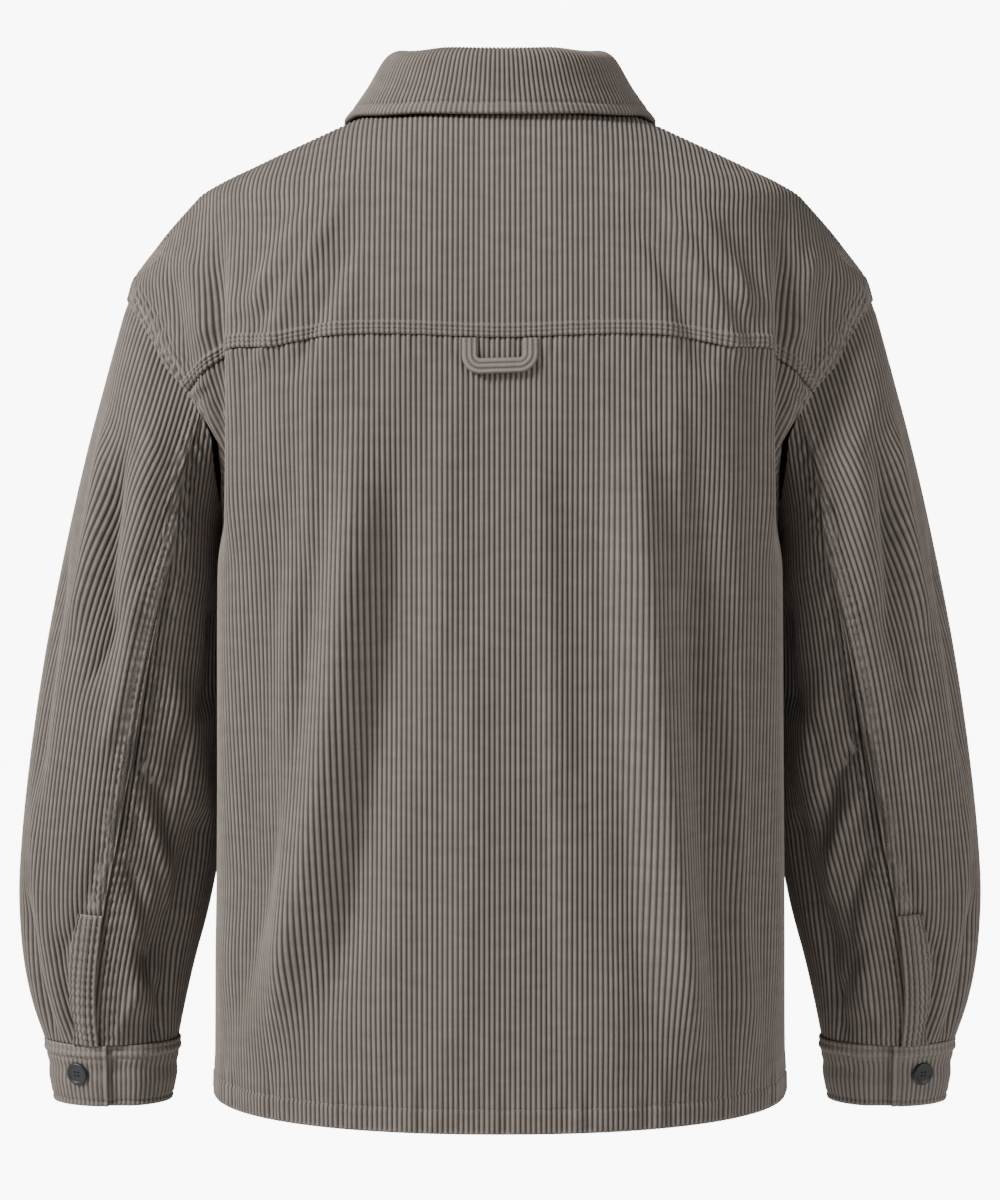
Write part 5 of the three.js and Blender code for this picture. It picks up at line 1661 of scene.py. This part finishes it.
class OvershirtSettings(bpy.types.PropertyGroup):
    wale_pitch: FloatProperty(
        name="Wale pitch", description="From one rib of the corduroy to the next, in millimetres",
        default=3.7, min=1, max=10)
    wale_height: FloatProperty(
        name="Wale height", description="How far a rib stands above its grooves, in millimetres",
        default=1.12, min=0, max=2)
    cloth_colour: FloatVectorProperty(
        name="Cloth", description="Colour of the corduroy", subtype="COLOR",
        default=(0.215, 0.184, 0.16), size=3, min=0, max=1)
    # How dark the painted shade in the grooves between the ribs is, as the share of the colour left
    # there.
    groove_shade: FloatProperty(
        name="Groove tone", description="Share of the colour left in the grooves",
        default=0.16, min=0, max=1, subtype="FACTOR")
    wear_tone: FloatProperty(
        name="Wear tone", description="How much paler the worn seams are", default=1.35, min=1, max=3)
    sheen: FloatProperty(
        name="Sheen", description="Soft light caught by the pile", default=0.12, min=0, max=1,
        subtype="FACTOR")
    thread_colour: FloatVectorProperty(
        name="Thread", description="Colour of the sewing thread", subtype="COLOR",
        default=(0.24, 0.21, 0.185), size=3, min=0, max=1)
    button_colour: FloatVectorProperty(
        name="Buttons", description="Colour of the buttons", subtype="COLOR",
        default=(0.019, 0.021, 0.023), size=3, min=0, max=1)
    stitch_length: FloatProperty(
        name="Stitch", description="Length of one stitch that shows, in millimetres", default=2.1,
        min=1, max=8)
    stitch_thick: FloatProperty(
        name="Thread thickness", description="Thickness of the thread, in millimetres",
        default=0.5, min=0.2, max=1)


class OVERSHIRT_OT_back(bpy.types.Operator):
    """Makes the back panel"""

    bl_idname = "overshirt.back"
    bl_label = "Back"

    def execute(self, context):
        settings = context.scene.overshirt
        cloth = back_cloth(settings.wale_pitch)
        CLOTHS["back"] = cloth
        shape = cloth_mesh("back_panel", [cloth], settings.wale_height, WALL)
        declare(shape, "back", [cloth], corduroy(), rests_on=["yoke"])
        return {"FINISHED"}


class OVERSHIRT_OT_yoke(bpy.types.Operator):
    """Makes the yoke over both shoulders"""

    bl_idname = "overshirt.yoke"
    bl_label = "Yoke"

    def execute(self, context):
        settings = context.scene.overshirt
        cloths = yoke_cloths(settings.wale_pitch)
        CLOTHS["yoke"] = cloths[0]
        shape = cloth_mesh("yoke_panel", cloths, settings.wale_height, WALL)
        declare(shape, "yoke", cloths, corduroy(), rests_on=["collar_stand"])
        return {"FINISHED"}


class OVERSHIRT_OT_fronts(bpy.types.Operator):
    """Makes both fronts and the button placket"""

    bl_idname = "overshirt.fronts"
    bl_label = "Fronts"

    def execute(self, context):
        settings = context.scene.overshirt
        for side, mirror in (("left", False), ("right", True)):
            cloth = front_cloth(settings.wale_pitch, mirror)
            CLOTHS["front_" + side] = cloth
            shape = cloth_mesh(f"front_{side}_panel", [cloth], settings.wale_height, WALL, mirror)
            declare(shape, "front_" + side, [cloth], corduroy(), rests_on=["yoke"])
        left = CLOTHS["front_left"]
        places = left.wales[0] * settings.wale_pitch
        columns = np.where(places <= PLACKET_WIDTH - FRONT_LAP)[0]
        strip = strip_cloth(left, columns, STRIP_WALL, LAID_GAP)
        strip.across = np.broadcast_to(places[columns] - places[0], strip.flat.shape)
        edge = np.minimum(strip.across, strip.across.max() - strip.across)
        strip.lift = pillow(edge, (FRONT_PLACKET_ROW,), 0.9, 0.9)
        CLOTHS["front_placket"] = strip
        shape = cloth_mesh("front_placket_strip", [strip], settings.wale_height, STRIP_WALL)
        declare(shape, "front_placket", [strip], corduroy(), ["front_left"], STRIP_WALL)
        return {"FINISHED"}


class OVERSHIRT_OT_sleeves(bpy.types.Operator):
    """Makes both sleeves, each of a top and an under piece, and their plackets"""

    bl_idname = "overshirt.sleeves"
    bl_label = "Sleeves"

    def execute(self, context):
        settings = context.scene.overshirt
        pitch, height = settings.wale_pitch, settings.wale_height
        smooth = SleeveSurface()
        front, back = -SLEEVE_FRONT_SEAM_START, SLEEVE_SEAM_START
        over = first_line(smooth, 0, TOP_LINE_INWARD, 0, back)
        under = np.full(LINE_STATIONS, back + UNDER_LINE_TURN), over[1]
        parts = (("top", sleeve_lines(smooth, pitch, over, front, back), True),
                 ("under", sleeve_lines(smooth, pitch, under, back, front + 2), False))
        for side, arm in (("left", 1), ("right", -1)):
            surface = SleeveSurface([fold for fold in SLEEVE_FOLDS if fold["arm"] in (0, arm)])
            SURFACES[side] = surface
            for part, (lines, wales), is_top in parts:
                cloth = sleeve_cloth(surface, lines, wales, is_top)
                shape = cloth_mesh(f"sleeve_{part}_{side}_panel", [cloth], height, WALL, arm < 0)
                declare(shape, f"sleeve_{part}_{side}", [cloth], corduroy(), rests_on=["yoke"])
            strip = sleeve_placket_cloth(surface, pitch)
            CLOTHS["sleeve_placket_" + side] = strip
            shape = cloth_mesh(f"sleeve_placket_{side}_strip", [strip], height, STRIP_WALL, arm < 0)
            declare(shape, "sleeve_placket_" + side, [strip], corduroy(),
                    ["sleeve_top_" + side], STRIP_WALL)
        return {"FINISHED"}


class OVERSHIRT_OT_cuffs(bpy.types.Operator):
    """Makes both cuffs"""

    bl_idname = "overshirt.cuffs"
    bl_label = "Cuffs"

    def execute(self, context):
        settings = context.scene.overshirt
        for side, arm in (("left", 1), ("right", -1)):
            cloth = cuff_cloth(settings.wale_pitch)
            CLOTHS["cuff_" + side] = cloth
            shape = cloth_mesh(
                f"cuff_{side}_band", [cloth], settings.wale_height, CUFF_WALL, arm < 0)
            declare(shape, "cuff_" + side, [cloth], corduroy(), ["sleeve_top_" + side],
                    CUFF_WALL)
        return {"FINISHED"}


class OVERSHIRT_OT_collar(bpy.types.Operator):
    """Makes the collar stand and the fall turned down over it"""

    bl_idname = "overshirt.collar"
    bl_label = "Collar"

    def execute(self, context):
        settings = context.scene.overshirt
        stand = collar_stand_cloth(settings.wale_pitch)
        shape = cloth_mesh("collar_stand_band", [stand], settings.wale_height * 0.7, WALL)
        declare(shape, "collar_stand", [stand], corduroy(), ["yoke"])
        fall = collar_fall_cloth(settings.wale_pitch)
        CLOTHS["collar_fall"] = fall
        shape = cloth_mesh("collar_fall_leaf", [fall], settings.wale_height, COLLAR_WALL)
        declare(shape, "collar_fall", [fall], corduroy(), ["collar_stand"], COLLAR_WALL)
        return {"FINISHED"}


class OVERSHIRT_OT_loop(bpy.types.Operator):
    """Makes the hanging loop under the yoke's seam"""

    bl_idname = "overshirt.loop"
    bl_label = "Hanging loop"

    def execute(self, context):
        settings = context.scene.overshirt
        seam = body_ring(np.array(0.0), np.array(float(YOKE_LEVEL)))
        cloth = loop_cloth(settings.wale_pitch, seam)
        CLOTHS["locker_loop"] = cloth
        shape = cloth_mesh("hanging_loop", [cloth], settings.wale_height * 0.6, LOOP_THICK)
        declare(shape, "locker_loop", [cloth], corduroy(), ["yoke"], LOOP_THICK)
        return {"FINISHED"}


class OVERSHIRT_OT_buttons(bpy.types.Operator):
    """Makes the four-hole buttons of the front and the cuffs"""

    bl_idname = "overshirt.buttons"
    bl_label = "Buttons"

    def execute(self, context):
        mesh = button_mesh()
        mesh.materials.append(material_of("button_resin", button_material))
        for name in sorted(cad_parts):
            if not name.startswith("button_"):
                continue
            corners = np.array([corner.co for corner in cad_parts[name].data.vertices])
            centre = (corners.max(axis=0) + corners.min(axis=0)) / 2
            facing = np.linalg.svd(corners - corners.mean(axis=0))[2][2]
            middle = np.array([0, 0, centre[2]])
            if "cuff" in name:
                middle[:2] = math.copysign(CUFF_CENTRE_X, centre[0]) * MM, CUFF_CENTRE_Y * MM
            facing = facing * np.sign(facing @ (centre - middle))
            across = unit(np.cross([0, 0, 1], facing))
            place = np.eye(4)
            place[:3, :3] = np.stack([across, np.cross(facing, across), facing], -1)
            place[:3, 3] = centre - facing * BUTTON_THICK / 2 * MM
            shape = bpy.data.objects.new(name + "_disc", mesh)
            context.scene.collection.objects.link(shape)
            shape.matrix_world = Matrix(place.tolist())
            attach(shape, "root")
            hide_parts(name)
        return {"FINISHED"}


class OVERSHIRT_OT_stitching(bpy.types.Operator):
    """Sews the topstitching of every seam, in stitches of thread"""

    bl_idname = "overshirt.stitching"
    bl_label = "Stitching"

    def execute(self, context):
        settings = context.scene.overshirt
        rise = settings.wale_height * 0.6
        self.body(settings, rise)
        self.sleeves(settings, rise)
        self.trims(settings, rise)
        return {"FINISHED"}

    def body(self, settings, rise):
        seams = Seams(settings)
        for level in YOKE_ROWS:
            seams.along(*crossing(CLOTHS["yoke"], CLOTHS["yoke"].from_seam, level, rise))
        for name in ("back", "front_left", "front_right"):
            cloth = CLOTHS[name]
            line = crossing(cloth, cloth.along - cloth.along[0], HEM_FOLD, rise)
            seams.along(*line, flip=name == "front_right")
        turn = np.linspace(-0.99, 0.99, 420)
        part = np.abs(turn)
        sides = ARMHOLE.at(part)["level"]
        angles = angle_at_depth(armhole_depth(part, np.where(turn >= 0, 1, -1)), sides)
        done = 0
        for distance in ARMHOLE_ROWS:
            for _ in range(4):
                angles, sides = body_stepped(angles, sides, (distance - done) / 4)
            done = distance
            for way in (1, -1):
                facing = body_facing(angles * way, sides)
                line = body_skin(angles * way, sides) + facing * (BAND_RISE + rise - STITCH_SINK)
                seams.along(line, facing)
        seams.make("body_stitching")

    def sleeves(self, settings, rise):
        for side, flip in (("left", False), ("right", True)):
            seams = Seams(settings)
            surface = SURFACES[side]
            ring = np.linspace(0.12, PLACKET_RING, 300)
            for level in SLEEVE_ROWS:
                turn = surface.beside_line(SLEEVE_SEAM_START, ring, -level)
                facing = unit(surface.read(surface.facing, turn, ring))
                line = surface.read(surface.places, turn, ring)
                seams.along(line + facing * (BAND_RISE + rise - STITCH_SINK), facing, flip)
            strip = CLOTHS["sleeve_placket_" + side]
            for level in PLACKET_ROWS:
                seams.along(*crossing(strip, strip.across, level, rise, 1), flip)
            for level in PLACKET_END_ROWS:
                seams.along(*crossing(strip, strip.from_end, level, rise), flip)
            cuff = CLOTHS["cuff_" + side]
            for level in CUFF_ROWS:
                seams.along(*crossing(cuff, cuff.along, level, rise), flip)
            across = cuff.wales * settings.wale_pitch
            seams.along(*crossing(cuff, across, CUFF_END_ROW, rise, 1), flip)
            seams.make(f"sleeve_{side}_stitching")

    def trims(self, settings, rise):
        seams = Seams(settings)
        fall = CLOTHS["collar_fall"]
        seams.along(*crossing(fall, fall.from_edge, FALL_ROW, rise))
        for across in (fall.from_left, fall.from_right):
            seams.along(*crossing(fall, across, FALL_ROW, rise, 1))
        strip = CLOTHS["front_placket"]
        for level in (FRONT_PLACKET_ROW, strip.across.max() - FRONT_PLACKET_ROW):
            seams.along(*crossing(strip, strip.across, level, rise, 1))
        loop = CLOTHS["locker_loop"]
        for level in LOOP_ROWS:
            seams.along(*crossing(loop, loop.across, level, rise * 0.6, 1))
        seams.make("trim_stitching")


class OVERSHIRT_OT_stage(bpy.types.Operator):
    """Makes the camera, the pale floor and the soft studio light"""

    bl_idname = "overshirt.stage"
    bl_label = "Stage"

    def execute(self, context):
        scene = context.scene
        camera = bpy.data.objects.new("camera", bpy.data.cameras.new("camera"))
        scene.collection.objects.link(camera)
        camera.location = CAMERA_PLACE
        camera.rotation_euler = (math.radians(90 - CAMERA_LOOKS_DOWN), 0, math.pi)
        camera.data.sensor_fit = "VERTICAL"
        camera.data.sensor_height = CAMERA_FILM
        camera.data.lens = CAMERA_LENS
        scene.camera = camera
        mesh = bpy.data.meshes.new("floor")
        corners = ((-1, -1), (1, -1), (1, 1), (-1, 1))
        mesh.from_pydata([(FLOOR_REACH * x, FLOOR_REACH * y, FLOOR_LEVEL) for x, y in corners],
                         [], [(0, 1, 2, 3)])
        floor = bpy.data.objects.new("floor", mesh)
        scene.collection.objects.link(floor)
        material, tree, shader = new_material("floor")
        start = Value(tree, None)
        seen = Value(tree, start.node("ShaderNodeLightPath").outputs["Is Camera Ray"])
        shader.inputs["Base Color"].default_value = (0.8, 0.8, 0.8, 1)
        shader.inputs["Roughness"].default_value = 1
        shader.inputs["Emission Strength"].default_value = BACKDROP_LIGHT
        tree.links.new(seen.socket, shader.inputs["Emission Color"])
        mesh.materials.append(material)
        world = bpy.data.worlds.new("studio")
        scene.world = world
        world.use_nodes = True
        start = Value(world.node_tree, None)
        seen = Value(world.node_tree, start.node("ShaderNodeLightPath").outputs["Is Camera Ray"])
        background = world.node_tree.nodes["Background"]
        background.inputs["Color"].default_value = (1, 1, 1, 1)
        strength = seen * (BACKDROP_LIGHT - FILL_LIGHT) + FILL_LIGHT
        world.node_tree.links.new(strength.socket, background.inputs["Strength"])
        self.light(scene, "key", (2.7, 1.7, 1.9), 1.1, 235)
        self.light(scene, "side", (-2.2, 1.8, 0.4), 1.6, 34)
        return {"FINISHED"}

    def light(self, scene, name, place, size, power):
        data = bpy.data.lights.new(name, "AREA")
        data.shape = "DISK"
        data.size = size
        data.energy = power
        lamp = bpy.data.objects.new(name, data)
        lamp.location = place
        aim = np.array(LIGHTS_AIM) - np.array(place)
        yaw = math.atan2(aim[1], aim[0]) - math.pi / 2
        pitch = math.atan2(aim[2], math.hypot(aim[0], aim[1])) + math.pi / 2
        lamp.rotation_euler = (pitch, 0, yaw)
        scene.collection.objects.link(lamp)


class OVERSHIRT_PT_panel(bpy.types.Panel):
    bl_label = "Overshirt"
    bl_idname = "OVERSHIRT_PT_panel"
    bl_space_type = "VIEW_3D"
    bl_region_type = "UI"
    bl_category = "Overshirt"

    def draw(self, context):
        settings = context.scene.overshirt
        for name in OvershirtSettings.__annotations__:
            self.layout.prop(settings, name)
        for operator in OPERATORS:
            self.layout.operator(operator.bl_idname)


OPERATORS = (
    OVERSHIRT_OT_stage,
    OVERSHIRT_OT_back,
    OVERSHIRT_OT_yoke,
    OVERSHIRT_OT_fronts,
    OVERSHIRT_OT_sleeves,
    OVERSHIRT_OT_cuffs,
    OVERSHIRT_OT_collar,
    OVERSHIRT_OT_loop,
    OVERSHIRT_OT_buttons,
    OVERSHIRT_OT_stitching,
)
CLASSES = (OvershirtSettings, *OPERATORS, OVERSHIRT_PT_panel)


def register():
    for cls in CLASSES:
        bpy.utils.register_class(cls)
    bpy.types.Scene.overshirt = PointerProperty(type=OvershirtSettings)


def unregister():
    del bpy.types.Scene.overshirt
    for cls in reversed(CLASSES):
        bpy.utils.unregister_class(cls)


def main():
    register()
    for operator in OPERATORS:
        group, name = operator.bl_idname.split(".")
        getattr(getattr(bpy.ops, group), name)()


if __name__ == "__main__":
    main()
